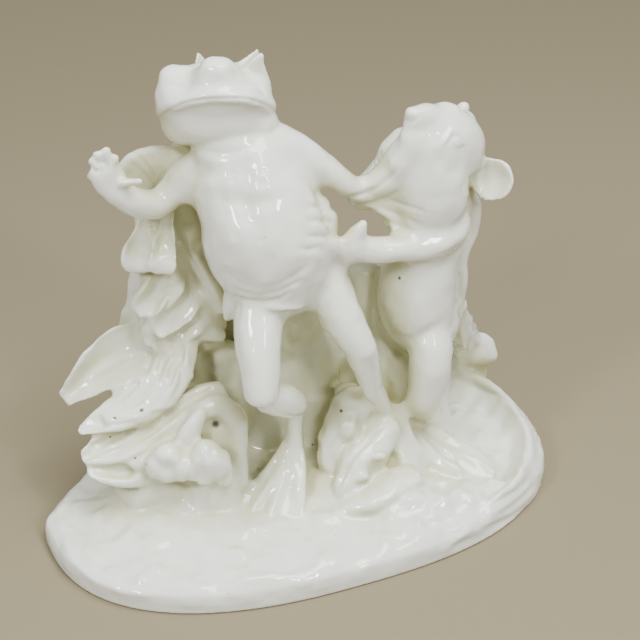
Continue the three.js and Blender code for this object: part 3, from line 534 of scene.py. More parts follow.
def frog_head():
    """Head thrown back: throat, thin wide lip, forehead rising to the snout, eye bulges."""
    lip = [[-54, 1, 191, 3, 4], [-51, -6, 197.5, 3.2, 5], [-43, -11.5, 203, 3.4, 5.4],
           [-30, -14, 206, 3.4, 5.4], [-19.5, -12, 205, 3.4, 5.4], [-12.3, -6, 199.6, 3.2, 5],
           [-9, 1, 193.4, 3, 4]]
    snout = [[-30.5, -4, 199, 18, 9.4], [-30.2, -6.6, 206, 13.6, 8.6], [-30, -8.4, 213, 8.6, 6.6],
             [-30, -9.4, 218.6, 4.8, 4.2]]
    return [
        lump([-31, -0.5, 190.5], [23.2, 14.6, 14.2]),
        lump([-43.6, 0, 187], [11.4, 11, 9.6]),
        lump([-31, 0, 200.5], [22.5, 15, 11.5]),
        limb(lip, steps=70),
        limb(snout, ends=(1, 0.6), profile=squared),
        lump([-46, -0.5, 198.6], [10.4, 10.5, 11.6]),
        lump([-48.6, 1, 206], [5.6, 6, 5.2]),
        lump([-44.8, 1, 205.6], [5, 6, 5.4]),
        lump([-38, -1, 202.4], [9, 9, 7.4]),
        lump([-18.2, 0.6, 197], [6.6, 8, 7.4]),
        lump([-15.4, -0.5, 187.5], [9.4, 10, 9]),
    ]


def crown():
    """Crown: a tilted ring whose rim rises in four straight-sided points, the one over the
    forehead low, with a broad point of its own in front on the right. Radius and height run
    from the inner floor over the rim to the outside."""
    points = 4
    angle = circle(400)[None]

    def near(degrees, width):
        """Bump round the ring at a place given in degrees."""
        return bell(np.angle(np.exp(1j * (angle - math.radians(degrees)))), 0, width)

    turn = angle + math.radians(38)
    saw = np.abs(2 * ((points * turn / (2 * math.pi)) % 1) - 1)
    saw = saw * (1 - 0.55 * near(52, 0.5))
    saw = saw * (1 - 0.8 * near(-128, 0.5))
    saw = saw * (1 + 0.42 * near(142, 0.6))
    skin = np.array([0, 1, 1, 1, -1, -1, -1, 0.0])[:, None]
    step = np.array([0, 0, 0.3, 1, 1, 0.5, 0, 0.0])[:, None]
    radius, wall, band, tall, splay, floor = 12.0, 1.1, 5.0, 13.0, 4.0, 2.0
    height = step * (band + tall * saw) + np.array([0, 0, 0, 0, 0, 0, floor, floor])[:, None]
    shown = (np.abs(skin) > 0) * 1.0
    grid_radius = shown * (radius + splay * step * saw) + skin * wall * (1.1 - 0.7 * step * saw)
    flat = np.stack([grid_radius * np.cos(angle), grid_radius * np.sin(angle), height + 0 * angle], -1)
    lean, roll = -0.72, 0.05
    tip = np.array([[1, 0, 0], [0, math.cos(lean), -math.sin(lean)], [0, math.sin(lean), math.cos(lean)]])
    side = np.array([[math.cos(roll), 0, math.sin(roll)], [0, 1, 0], [-math.sin(roll), 0, math.cos(roll)]])
    ring = closed(flat @ (tip @ side).T + np.array([-27.6, 8.5, 195.5]))
    broad = [[-17, 1, 195, 8.4, 2], [-16, 0.6, 202, 7.8, 1.8], [-15.6, 0.3, 208, 6, 1.6],
             [-14.2, 0.1, 213, 3.3, 1.3], [-12.4, 0, 217.6, 0.7, 0.9]]
    return [ring, leaf(broad, thin=0.9, face=(0.25, -0.9, 0.3), rough=0)]


def digits(root, tips, root_radius, tip_radius, face=UP, arch=0.0):
    """Fingers or toes that fan out from a palm, a little thicker at their tips."""
    parts = []
    for tip in tips:
        root, tip = np.asarray(root, float), np.asarray(tip, float)
        middle = 0.4 * root + 0.6 * tip + [0, 0, arch]
        near_tip = 0.12 * root + 0.88 * tip
        rows = [
            [*root, root_radius, root_radius],
            [*middle, tip_radius * 1.02, tip_radius * 1.05],
            [*near_tip, tip_radius * 1.12, tip_radius * 1.1],
            [*tip, tip_radius * 0.8, tip_radius * 0.8],
        ]
        parts.append(limb(rows, sides=20, steps=22, caps=5, face=face))
    return parts


def frog_arms():
    """Right arm raised with the open hand, left arm laid on the mouse's shoulder."""
    right = [[-37, -4, 173, 7.4, 7.4], [-44.5, -4, 165, 7.2, 7.3], [-50.5, -5, 158, 6.6, 7],
             [-56, -8, 154, 6.4, 6.6], [-62, -13, 155.4, 6.2, 6.2], [-68.5, -18, 161, 5.6, 5.4],
             [-72.5, -20, 166, 5.4, 4.6]]
    left = [[-15, -3, 183, 7, 9], [-6, -1, 178.5, 7.6, 9], [3, 0, 172.5, 7.2, 8], [11, 1, 166.5, 6, 7],
            [19, 3, 159, 5.2, 6], [27, 6.5, 151, 4.6, 5], [35, 9, 146, 5.4, 4.4], [40, 9, 145, 5, 3.6]]
    palm = [[-69.5, -19, 162, 5.6, 4.6], [-73.6, -21, 169, 7.0, 3.4], [-76, -22, 175.5, 7.0, 2.6],
            [-77, -22.6, 180, 5.0, 2.2]]
    return [limb(right), limb(left), limb(palm, ends=(0.5, 0.6), face=(0.3, -0.9, 0.3))]


def hands():
    """Fingers of the frog's and the mouse's hands."""
    return (
        digits([-76, -22, 172], [[-83.4, -23.5, 174.6], [-81.4, -23.2, 181.6], [-79, -22.8, 184.6],
                                 [-74.6, -22, 186.2], [-71, -21.6, 182.6]], 2.8, 1.6, FRONT)
        + digits([-72, -22, 170], [[-60.6, -25, 172.6]], 3.0, 1.4, FRONT)
        + digits([33, 7, 147], [[45, 7, 157], [50.5, 4, 148], [51, 1.5, 139.5], [45.5, 0.5, 134.5]], 3.6, 2.1,
                 FRONT, 1)
        + digits([19, -14, 136], [[7.5, -19, 147], [6.2, -21, 141.5], [7, -21, 136], [9.6, -19.5, 130.5]],
                 3.2, 2.1, FRONT)
    )


def frog_legs():
    """Bent right leg with the knee in front and straight left leg, down to the ankles."""
    right_thigh = [[-10, -14, 122, 10, 10], [-14, -22, 114, 11, 11.5], [-15, -31, 105, 10.4, 11],
                   [-14.5, -39, 96, 9.2, 10], [-14, -46, 85, 7.6, 8.4], [-14, -47.5, 79.5, 6.2, 7]]
    right_shin = [[-14, -45, 82, 6, 7], [-8, -37, 74, 7.2, 7.4], [-3, -27, 66, 7.4, 7.6],
                  [0.5, -18, 58, 6, 6.4]]
    ankle = [[0.5, -17, 60, 5.4, 5.6], [-0.5, -15, 48, 4, 4.6], [-1, -17, 36, 4.4, 5], [-4, -23, 28, 7, 5]]
    left_thigh = [[4, -8, 121, 10, 10], [11, -10, 119, 11, 11], [16, -14, 111, 10.4, 10.4],
                  [22, -19, 101, 8.8, 9], [28, -22, 92, 7, 7.4], [30, -22, 87, 6.2, 6.4]]
    left_shin = [[26, -21, 96, 7, 8], [29.5, -20.5, 86, 6.6, 7], [32.5, -16, 72, 5.6, 6.2],
                 [36.6, -9, 56, 4.6, 5.2], [40.4, -5, 45, 4.2, 4.6], [46.6, -3, 35.6, 4.6, 4.6]]
    return [limb(rows) for rows in (right_thigh, right_shin, ankle, left_thigh, left_shin)]


def feet():
    """Webbed feet: a thin web with toes as ridges that fan out over the ground."""
    right_web = [[-1, -16, 38, 4, 4], [-3, -22, 29, 8, 3.4], [-7, -32, 21, 12.5, 3], [-10, -42, 15, 14, 2.8]]
    left_web = [[40, -5, 44, 4.4, 4.4], [48, -0.5, 34, 8.4, 4.6], [58, -0.5, 26, 10, 3.6],
                [69, -3.5, 19.6, 11, 3], [80, -8, 15.4, 10.5, 2.8], [89, -13, 13, 7, 2.4]]
    near_web = [[43, -7, 38, 4, 4], [47, -9, 30, 6, 4.4], [52.5, -12, 23, 8.4, 4], [59, -15, 17, 9, 3.6]]
    far_toe = [[46, -2, 37, 4, 4], [57, 3.6, 28, 3.4, 3], [69, 3.8, 21.8, 2.1, 2.2], [81, -3.6, 17.6, 1.9, 2],
               [91.4, -13, 14.8, 1.5, 1.6]]
    return (
        [leaf(right_web, ribs=2.4, rib=0.4, thin=0.8, face=(0, -0.4, 0.9)),
         leaf(left_web, ribs=2.4, rib=0.4, thin=0.8, face=(-0.3, -0.05, 0.95)),
         limb(far_toe, sides=24, face=UP), limb(near_web, face=UP, rough=0.2)]
        + digits([-2, -19, 33], [[-22, -45, 14.5], [-12, -47, 14.5], [2, -42, 16]], 3, 1.5)
        + digits([51, -2, 32], [[62.4, -12, 16.6], [76, -14, 15.8]], 3, 1.6)
    )


def mouse_trunk():
    """Trunk with its belly, the raised knee with the foot below, throat and far shoulder."""
    trunk = [[57, 16, 66, 11, 11], [57, 14, 80, 17, 16], [54, 11, 94, 17.8, 17.6],
             [54.6, 12, 108, 17.2, 17.2], [58, 16, 121, 16.2, 15.6], [60, 20, 133, 16.4, 14.6],
             [63, 23, 145, 15.6, 13.6], [65, 24, 156, 14, 13]]
    leg = [[60, 8, 86, 9, 9], [60, 0, 79, 9.6, 10], [60, -4, 70, 9.6, 10], [59.6, -3, 59, 9.4, 9.4],
           [58.4, 0, 49, 8.4, 8.6], [58, 4, 40.6, 6.4, 6.4], [56.6, 8, 30, 3.6, 4], [56, 9, 16, 4, 4]]
    foot = [[60, 15, 16, 5, 4], [57.5, 8, 16.5, 5.4, 4], [54, 2, 17, 4.4, 3]]
    throat = [[59, 10, 130, 14, 12], [58, 8, 141, 15.5, 13], [58, 8, 152, 16, 13.4],
              [57.4, 9.4, 162, 16, 13.8], [58, 9, 172, 13, 11.6], [55.5, 8.4, 179, 9, 9],
              [52, 6, 184.6, 5.6, 5.6]]
    fur = [[51, 4.4, 183, 5, 5], [50, 5.4, 176, 7, 7], [48, 6.4, 168, 9, 9], [43.4, 7.4, 160.4, 8.6, 8.6],
           [35, 8.4, 153.6, 6.4, 6.4], [27, 9, 149, 4, 4]]
    shoulder = [[46, 13.6, 168, 10, 9.6], [48, 12, 153, 14, 10], [50, 11, 142, 14, 10], [54, 12, 132, 12, 10]]
    return [limb(trunk, sides=96, steps=90), limb(leg, sides=56), limb(foot, face=UP), limb(throat, sides=64),
            limb(shoulder, sides=56, rough=0.8),
            limb(fur, rough=0.7)]


def mouse_tail():
    """Tail laid up the back, with its free crescent below the ear."""
    tail = [[73, 22, 78, 3.6, 4], [73, 19, 98, 3.8, 4], [73.5, 19, 114, 4, 4.4], [77.6, 23, 125, 4.2, 5],
            [77.4, 25.6, 135, 4.2, 5], [73.4, 26, 142, 3.6, 4.4]]
    return [limb(tail, sides=28, steps=60)]


def mouse_head():
    """Head looking up to the left, blunt muzzle, brow over the eye."""
    head = [[68.5, 26, 150, 13, 12.5], [67, 22.5, 160, 16.4, 15.6], [63.5, 18, 168.5, 16.4, 15.6],
            [59, 13.5, 176, 14, 13.6], [55, 9.6, 182, 9, 8.2], [51, 5.4, 186.4, 6, 5.2],
            [48.8, 3.6, 188.6, 4.2, 3.8]]
    return [
        limb(head, sides=80, steps=70, ends=(1, 0.7)),
        lump([64, 17, 181.5], [7.4, 6.5, 6.5]),
        lump([56, 10.2, 185.6], [6, 5.5, 3]),
        lump([49.2, 4, 189.2], [3.2, 3, 2.8]),
        lump([69.4, 7.6, 171.5], [3.4, 2.2, 2.6]),
        lump([70.5, 22, 174], [7.4, 8, 8]),
    ]


def mouse_ears():
    """Near ear as a round dish turned to the viewer, on a neck, far ear as a small point."""
    return [
        dish([85, 16.4, 152.6], [9.6, 9.8], (-0.2, -1, 0.3), 3.6, 1.3, 2.4),
        limb([[71, 23, 159, 5, 4], [79, 18.4, 156, 5, 3.4]], sides=24, face=UP),
        limb([[69, 30, 172, 4, 3.4], [71.5, 31, 177, 3.4, 2.6], [74, 32, 181, 1.6, 1.4]], sides=24),
    ]


def mouse_arms():
    """Left arm reaching to the frog's flank, right arm under the frog's hand."""
    left = [[68, 16, 138, 9, 9], [67, 9, 133, 8.6, 9], [60, 1, 130, 7.4, 7.8], [49, -4, 130, 6.2, 6.6],
            [37, -8, 131, 5.6, 6], [26, -11, 133, 6, 5]]
    right = [[62, 26, 160, 14, 12], [54, 24, 161, 14, 12], [46, 21, 158, 12, 11], [38, 17, 152, 8.5, 8.6],
             [30, 13, 147, 6.8, 6.8], [24, 9, 144, 5, 5.5]]
    hand = [[31, -10, 132, 5, 5], [25, -12, 134, 7.4, 4.4], [19, -13, 136, 6.6, 4]]
    thumb = [[24, -12, 136, 4.2, 3.6], [27, -12, 142, 3.2, 2.8], [29.5, -12, 147.5, 1.4, 1.4]]
    return [limb(left), limb(right, rough=0.5), limb(hand, sides=32), limb(thumb, sides=24)]


def level_set(surfaces, band):
    """Distance to the nearest surface on a voxel grid, negative inside, band millimetres wide."""
    counts = np.cumsum([0] + [len(points) for points, _ in surfaces[:-1]])
    points = np.concatenate([points for points, _ in surfaces]).astype(np.float32)
    quads = np.concatenate([quads + start for (_, quads), start in zip(surfaces, counts)]).astype(np.uint32)
    grid = vdb.createLinearTransform(voxelSize=VOXEL)
    build = vdb.FloatGrid.createLevelSetFromPolygons
    return build(points, quads=quads, transform=grid, halfWidth=band / VOXEL)


def fused(surfaces, fillet):
    """All surfaces as one skin with creases filled to the fillet radius: the skin is grown by
    that radius and then shrunk by it, which rounds inner corners and keeps outer ones."""
    band = fillet + 3 * VOXEL
    grown = level_set(surfaces, band).convertToQuads(fillet)
    return level_set([grown], band).convertToQuads(-fillet)


def neighbours_mean(points, faces):
    """Function that replaces a value per point by the mean over the points it shares an edge with."""
    edges = np.concatenate([faces[:, [k, (k + 1) % faces.shape[1]]] for k in range(faces.shape[1])])
    a, b = edges.T
    count = np.bincount(a, minlength=len(points)) + np.bincount(b, minlength=len(points))

    def mean(values):
        columns = values.reshape(len(points), -1).T
        sums = [np.bincount(a, c[b], len(points)) + np.bincount(b, c[a], len(points)) for c in columns]
        return (np.stack(sums, -1) / np.maximum(count, 1)[:, None]).reshape(values.shape)

    return mean


def point_normals(points, faces):
    """Area-weighted mean of the normals of the faces round each point."""
    normal = np.cross(points[faces[:, 2]] - points[faces[:, 0]], points[faces[:, -1]] - points[faces[:, 1]])
    corners = range(faces.shape[1])
    sums = [sum(np.bincount(faces[:, k], n, len(points)) for k in corners) for n in normal.T]
    return unit(np.stack(sums, -1))


# Tool marks on the front, as the camera sees them: depth (below 0 a ridge) and width in
# millimetres, then lines of places right of and above the target, at the target's distance.
TOOL_MARKS = [
    # lip line of the frog
    (0.8, 1.0, [(-71.5, 87.8), (-69.3, 90.4), (-66.2, 92.4), (-61.8, 94.6), (-57.4, 96.2), (-51.6, 97.1),
                (-45.9, 97.5), (-39.7, 97.7), (-33.1, 97.6), (-27.8, 96.4), (-23.4, 94.4), (-19.9, 91.8)]),
    # nostril dot
    (0.9, 0.8, [(-45.0, 114.3), (-44.8, 114.1)]),
    # nostril slot
    (0.9, 0.8, [(-37.7, 109.6), (-35.5, 107.2)]),
    # lid of the frog
    (0.35, 1.0, [(-70.6, 102.4), (-67.9, 103.9), (-64.9, 104.1), (-61.8, 102.8)]),
    # foot of the crown
    (0.5, 0.9, [(-34.9, 110.3), (-30.9, 107.0), (-27.4, 103.7), (-24.7, 100.1)]),
    # belly crease
    (0.5, 1.4, [(-43.2, 22.1), (-38.8, 19.0), (-34.0, 15.4), (-28.2, 13.7), (-21.2, 14.1), (-13.2, 18.1),
                (-6.2, 22.9)]),
    # upper cloth fold
    (0.7, 1.0, [(-37.9, 13.7), (-32.6, 11.7), (-26.5, 11.0), (-19.4, 11.9), (-13.2, 14.6), (-8.4, 17.6)]),
    # lower cloth fold
    (0.6, 0.9, [(-37.1, 10.1), (-30.9, 8.4), (-23.8, 8.2), (-17.2, 9.7), (-11.9, 12.8)]),
    # cloth end fold
    (0.5, 0.9, [(-37.5, 14.6), (-36.8, 8.8), (-38.8, 2.6)]),
    # cloth end side
    (0.6, 0.9, [(-35.3, 8.8), (-35.7, 3.5), (-37.1, -0.9)]),
    # finger gap
    (0.8, 0.8, [(-100.1, 65.3), (-95.7, 66.2)], [(-97.9, 70.6), (-94.0, 67.9)]),
    # eyeball of the mouse
    (-1.1, 1.5, [(60.0, 78.5), (60.9, 77.6)]),
    # upper lid of the mouse
    (0.45, 0.7, [(57.8, 80.3), (60.4, 81.3), (63.1, 79.8)]),
    # lower lid of the mouse
    (0.35, 0.7, [(58.2, 76.3), (60.9, 75.6), (63.1, 76.8)]),
    # nose of the mouse
    (0.4, 0.8, [(37.1, 88.7), (39.7, 87.6), (42.8, 88.2), (45.0, 90.4)]),
    # fur fold
    (0.9, 1.2, [(11.5, 53.4), (17.6, 54.7), (24.7, 57.8), (30.0, 62.2), (33.5, 66.2)]),
    (0.8, 1.1, [(15.0, 50.3), (22.9, 51.2), (30.0, 53.8), (35.3, 57.4)],
     [(22.9, 46.8), (29.1, 43.7), (35.3, 41.5), (41.5, 39.3)]),
    (0.7, 1.0, [(25.6, 50.3), (32.2, 47.2), (38.8, 44.6), (44.1, 41.9)],
     [(29.1, 53.4), (35.3, 51.2), (41.5, 49.4), (45.9, 47.6)]),
    (0.6, 1.0, [(20.3, 64.9), (24.7, 70.6), (29.1, 75.9)]),
    # arm crease
    (0.8, 1.2, [(34.4, 24.7), (42.4, 24.7), (50.3, 26.5), (57.4, 29.6), (63.1, 33.5)]),
    # thigh crease
    (0.9, 1.8, [(32.6, -5.7), (36.2, -8.2), (41.0, -8.4), (45.9, -6.2), (49.4, -4.0)]),
    # back line
    (0.5, 1.2, [(59.6, 29.1), (61.3, 16.8), (60.0, 4.4), (57.8, -6.2)]),
    # ear root
    (0.8, 1.4, [(64.4, 62.6), (64.9, 58.2), (66.2, 54.3)]),
    # rib groove
    (0.9, 1.2, [(-74.6, -10.1), (-75.0, -18.5), (-77.6, -27.4), (-83.4, -34.9), (-90.0, -39.7)],
     [(-70.1, -9.7), (-69.7, -19.4), (-71.9, -29.1), (-77.6, -36.2), (-84.7, -40.6)],
     [(-65.7, -9.7), (-64.9, -19.4), (-66.2, -29.1), (-70.6, -35.3), (-76.8, -38.8)]),
    (0.8, 1.1, [(-61.8, -10.1), (-60.9, -19.4), (-61.3, -28.2), (-64.4, -34.0)]),
    # bowl vein
    (0.6, 1.6, [(-76.8, -13.2), (-85.6, -12.8), (-94.4, -16.8), (-102.4, -24.7), (-109.4, -33.5)]),
    (0.5, 1.2, [(-79.4, -18.5), (-87.4, -20.3), (-95.3, -25.6), (-101.5, -31.8)]),
    # upper fan groove
    (0.6, 0.9, [(-105.4, -49.4), (-97.9, -47.6), (-90.0, -46.3), (-82.1, -45.0)],
     [(-104.1, -51.6), (-95.3, -50.7), (-85.6, -49.0), (-76.8, -46.3)]),
    # middle fan groove
    (0.9, 1.2, [(-104.1, -60.4), (-94.4, -59.1), (-84.7, -55.1), (-75.9, -50.3), (-70.6, -47.2)]),
    (0.6, 1.0, [(-102.4, -55.6), (-94.4, -53.4), (-86.5, -50.7), (-78.5, -47.6)]),
    # lower fan groove
    (0.8, 1.2, [(-102.4, -65.3), (-93.5, -65.7), (-84.7, -63.1), (-76.8, -58.2), (-71.5, -53.8)]),
    # lily rib
    (0.3, 0.9, [(-72.4, 57.4), (-76.8, 63.5), (-82.1, 67.9), (-86.0, 70.1)],
     [(-71.5, 58.2), (-74.6, 65.3), (-78.5, 70.6), (-82.9, 74.6)],
     [(-70.6, 58.7), (-71.9, 66.2), (-74.6, 71.9), (-77.6, 75.9)],
     [(-69.7, 58.7), (-69.7, 66.2), (-70.6, 71.9), (-71.9, 76.3)],
     [(-68.4, 58.7), (-67.1, 66.2), (-66.6, 71.9), (-66.6, 76.3)]),
    # shell seam
    (1.2, 1.1, [(29.6, -47.6), (23.8, -51.6), (18.1, -56.5), (14.1, -60.9), (11.0, -66.6), (7.9, -74.1)]),
    # shell groove
    (0.5, 0.9, [(14.1, -37.1), (12.4, -46.3), (9.7, -55.6), (7.9, -62.6)],
     [(18.5, -36.2), (16.8, -45.9), (14.1, -53.8), (11.5, -60.0)],
     [(23.8, -37.1), (22.1, -44.1), (19.4, -50.3), (15.9, -56.0)]),
    # shell knob mark
    (0.6, 0.8, [(7.9, -40.1), (11.0, -40.4)]),
    # curl hollow
    (0.9, 1.6, [(-69.7, 35.3), (-70.1, 31.8), (-71.9, 28.2)]),
    (0.8, 1.6, [(-79.9, 34.0), (-79.0, 30.0), (-79.9, 25.6)]),
    (0.8, 1.4, [(-78.1, 8.8), (-75.0, 11.9), (-72.4, 13.7)]),
    # stalk groove
    (0.8, 1.2, [(-63.5, 43.2), (-60.0, 35.3), (-56.0, 27.4), (-50.7, 17.6), (-46.3, 8.8)]),
    # toe ridge
    (-0.5, 1.0, [(-25.6, -64.4), (-29.1, -70.6), (-31.8, -77.2), (-34.0, -84.7)],
     [(-17.2, -64.4), (-19.9, -71.5), (-22.1, -78.5), (-23.8, -86.5)]),
    (-0.4, 1.0, [(-10.6, -62.6), (-9.7, -69.7), (-8.4, -75.9)]),
    # web edge
    (-0.5, 1.0, [(48.5, -55.6), (58.2, -57.4), (68.4, -61.3), (78.5, -67.9)]),
    # web ridge
    (-0.5, 0.9, [(45.9, -57.4), (47.6, -61.8), (49.4, -66.6)], [(56.5, -57.8), (59.6, -62.6), (62.2, -67.9)]),
    # finger gap
    (0.7, 0.9, [(-100.1, 71.9), (-97.9, 68.8), (-96.2, 65.3)], [(-96.6, 73.7), (-95.3, 69.7), (-94.4, 66.2)]),
    (0.6, 0.9, [(-91.8, 73.7), (-91.8, 69.7), (-91.8, 66.2)], [(-101.9, 67.9), (-98.8, 65.7), (-96.6, 63.1)]),
    # bud crease
    (0.9, 1.1, [(-59.1, -56.0), (-57.8, -61.8), (-57.4, -67.1), (-59.1, -73.2)]),
    (0.8, 1.0, [(-47.6, -57.8), (-46.8, -64.0), (-46.8, -72.4)]),
    # bud facet
    (0.6, 1.4, [(-70.6, -58.2), (-67.1, -62.6), (-68.8, -69.7)]),
    (-0.6, 1.0, [(-65.3, -55.6), (-62.6, -60.0), (-63.5, -67.9)]),
    (0.5, 1.2, [(-53.8, -56.5), (-52.5, -62.6), (-53.8, -70.6)]),
    # brow of the mouse
    (-0.9, 1.2, [(53.4, 76.8), (56.0, 80.3), (58.2, 84.3), (60.4, 82.1), (63.1, 79.0)]),
    # ear fold
    (-0.7, 1.0, [(69.3, 57.4), (69.3, 62.6), (70.6, 67.1), (73.7, 70.6)]),
    # ear hollow
    (0.6, 1.4, [(71.9, 57.4), (72.4, 61.8), (74.1, 65.7)]),
    # leaf rim
    (-0.6, 1.0, [(-75.0, -39.7), (-67.9, -38.4), (-60.0, -35.3), (-53.4, -30.4)]),
    (-0.6, 0.9, [(-75.0, -8.8), (-68.4, -7.5), (-62.6, -7.5), (-58.7, -8.8)]),
    (-0.5, 0.9, [(-58.7, -9.7), (-58.7, -15.9), (-58.2, -22.1), (-54.7, -28.2)]),
    # drip
    (-0.3, 1.3, [(-60.9, -74.1), (-61.3, -79.4), (-61.8, -84.7)],
     [(-54.7, -74.1), (-54.3, -80.3), (-54.3, -86.0)], [(-47.6, -74.1), (-46.8, -79.4), (-46.8, -85.6)]),
    # drip groove
    (0.6, 1.2, [(-57.8, -74.1), (-57.8, -82.1)], [(-51.2, -74.1), (-50.3, -82.9)]),
    (0.5, 1.2, [(-43.2, -70.6), (-42.4, -79.4)]),
    # flank knob
    (-0.7, 1.9, [(0.9, 54.3), (3.5, 52.5)]),
    (-0.7, 1.8, [(2.2, 47.6), (4.9, 45.9)]),
    (-0.7, 2.0, [(-0.4, 41.5), (3.1, 39.7)]),
    (-0.7, 1.8, [(2.2, 34.0), (4.9, 32.2)], [(-1.8, 29.1), (0.9, 26.5)]),
    # flank groove
    (0.9, 1.3, [(-4.4, 49.9), (0.0, 50.3), (4.9, 49.4)], [(-4.9, 43.7), (0.0, 43.7), (5.7, 42.8)]),
    (0.8, 1.3, [(-6.2, 37.1), (-0.9, 36.6), (4.9, 36.6)]),
    (0.7, 1.3, [(-8.8, 31.3), (-4.0, 30.9), (0.0, 31.8)]),
    # face plane
    (0.5, 3.0, [(-63.5, 97.9), (-57.4, 102.4), (-52.1, 107.6), (-49.4, 112.1)]),
    (0.5, 2.6, [(-40.6, 112.1), (-37.1, 105.9), (-31.8, 100.6)]),
    # collar ridge
    (-0.35, 2.0, [(-55.6, 75.0), (-51.6, 71.5), (-45.0, 69.3), (-38.8, 69.7), (-33.5, 72.4)]),
    # collar crease
    (0.35, 1.6, [(-56.5, 78.1), (-50.7, 74.6), (-43.2, 73.2), (-35.3, 74.6), (-27.4, 77.6)]),
    # chest swelling
    (-1.3, 5.5, [(-38.8, 64.4), (-38.4, 61.8)], [(-24.7, 65.3), (-25.6, 60.0)]),
    # breast line
    (0.8, 3.5, [(-31.8, 67.9), (-32.2, 57.4), (-33.5, 46.8)]),
    # rib crease
    (0.5, 3.0, [(-46.8, 54.7), (-39.7, 51.6), (-31.8, 50.7), (-22.9, 51.6), (-15.9, 54.7)]),
    # belly swelling
    (-0.9, 7.0, [(-37.1, 37.1), (-25.6, 35.3)]),
    # cheek plane
    (0.4, 2.4, [(44.1, 91.8), (49.4, 84.7), (52.9, 76.8), (52.9, 67.9)]),
    # neck fold
    (0.2, 2.0, [(44.1, 54.7), (52.9, 53.4), (60.9, 56.0), (66.2, 60.9)]),
    # bank stroke
    (0.8, 1.6, [(96.0, -71.0), (91.4, -76.9), (85.5, -82.1), (77.6, -86.9)]),
    (0.7, 1.4, [(92.6, -80.9), (88.8, -84.5), (81.9, -88.8), (73.2, -92.2)]),
    (0.8, 1.6, [(93.5, -69.7), (86.5, -75.0), (78.5, -79.4), (69.7, -82.9)]),
    (0.7, 1.5, [(82.1, -88.2), (75.0, -92.6), (66.2, -97.1), (56.5, -100.1)]),
    (0.6, 1.5, [(73.2, -79.4), (64.4, -84.7), (55.6, -88.2), (45.9, -90.9)]),
    # bank ridge
    (-0.8, 1.6, [(88.2, -72.4), (80.3, -77.6), (71.5, -81.6), (62.6, -84.3)]),
    (-0.7, 1.5, [(77.6, -84.3), (67.9, -89.1), (58.2, -93.1)]),
    (-0.8, 1.5, [(66.2, -91.8), (60.0, -97.5), (54.7, -101.5)]),
    # ground crumb
    (-1.6, 2.0, [(-38.8, -104.1), (-36.6, -102.4), (-34.0, -104.1), (-35.7, -106.3)]),
    (0.6, 1.0, [(-40.6, -105.9), (-36.2, -108.1), (-32.2, -106.8)]),
    # shelf line
    (-0.6, 1.4, [(-113.8, -97.1), (-108.5, -106.8), (-100.6, -114.7), (-88.2, -120.0), (-75.0, -121.8)]),
    (0.5, 1.4, [(-112.1, -92.6), (-105.9, -102.4), (-97.9, -110.3), (-86.5, -115.6), (-73.2, -117.8)]),
    # ground stroke
    (0.5, 1.8, [(-75.0, -81.6), (-67.1, -84.7), (-57.4, -85.6), (-47.6, -84.3)],
     [(-92.6, -88.2), (-79.4, -92.6), (-66.2, -95.3)]),
    (-0.5, 2.2, [(-61.8, -90.4), (-50.7, -93.5), (-39.7, -94.4)]),
    (0.5, 2.0, [(-22.1, -97.1), (-8.8, -99.3), (4.4, -97.5)]),
    (-0.5, 2.2, [(-8.8, -105.9), (8.8, -105.0), (26.5, -101.5)]),
    # pool inner line
    (0.6, 1.2, [(66.2, -29.1), (79.4, -33.5), (90.0, -41.5), (95.7, -52.1), (96.2, -60.9)]),
]


def on_picture(points):
    """Place of each point right of and above the target as the camera sees it, scaled to the
    target's distance, and its depth along the view."""
    ahead = np.array([0, math.cos(ELEVATION), -math.sin(ELEVATION)])
    above = np.array([0, math.sin(ELEVATION), math.cos(ELEVATION)])
    offset = points - (TARGET - DISTANCE * ahead)
    depth = offset @ ahead
    return np.stack([offset[:, 0], offset @ above], -1) * (DISTANCE / depth)[:, None], depth


def nearest_depth(places, depth, cell=1.6):
    """Depth of the nearest point in each point's cell of the picture."""
    cells = 800
    index = np.clip(np.floor(places / cell).astype(int) + cells // 2, 0, cells - 1)
    key = index[:, 0] * cells + index[:, 1]
    near = np.full(cells * cells, np.inf)
    np.minimum.at(near, key, depth)
    return near[key]


def distance_to_line(places, line):
    """Distance from each place to a line of straight pieces: for each piece the foot of the
    perpendicular, kept between its ends, and the least of these distances."""
    line = np.asarray(line, float)
    best = np.full(len(places), np.inf)
    for start, end in zip(line[:-1], line[1:]):
        run = end - start
        share = np.clip(((places - start) @ run) / (run @ run), 0, 1)
        best = np.minimum(best, np.linalg.norm(places - start - share[:, None] * run, axis=1))
    return best


def carved(points, faces, marks):
    """Points pushed in along their normals by depth * exp(-(d / width)^2), d being the distance
    to a mark, where they are the nearest surface to the camera; marks fade towards their ends."""
    places, depth = on_picture(points)
    seen = smooth(nearest_depth(places, depth) + 6 - depth, 0, 2)
    push = np.zeros(len(points))
    strokes = [(deep, width, np.asarray(line, float)) for deep, width, *lines in marks for line in lines]
    for deep, width, line in strokes:
        low, high = line.min(0) - 3 * width, line.max(0) + 3 * width
        close = np.flatnonzero(((places > low) & (places < high)).all(1))
        gap = distance_to_line(places[close], line)
        ends = np.minimum(*(np.linalg.norm(places[close] - line[k], axis=1) for k in (0, -1)))
        size = 0.45 + 0.55 * smooth(ends, 0, 3)
        push[close] += deep * np.exp(-((gap / width) ** 2)) * size
    return points - point_normals(points, faces) * (push * seen)[:, None]


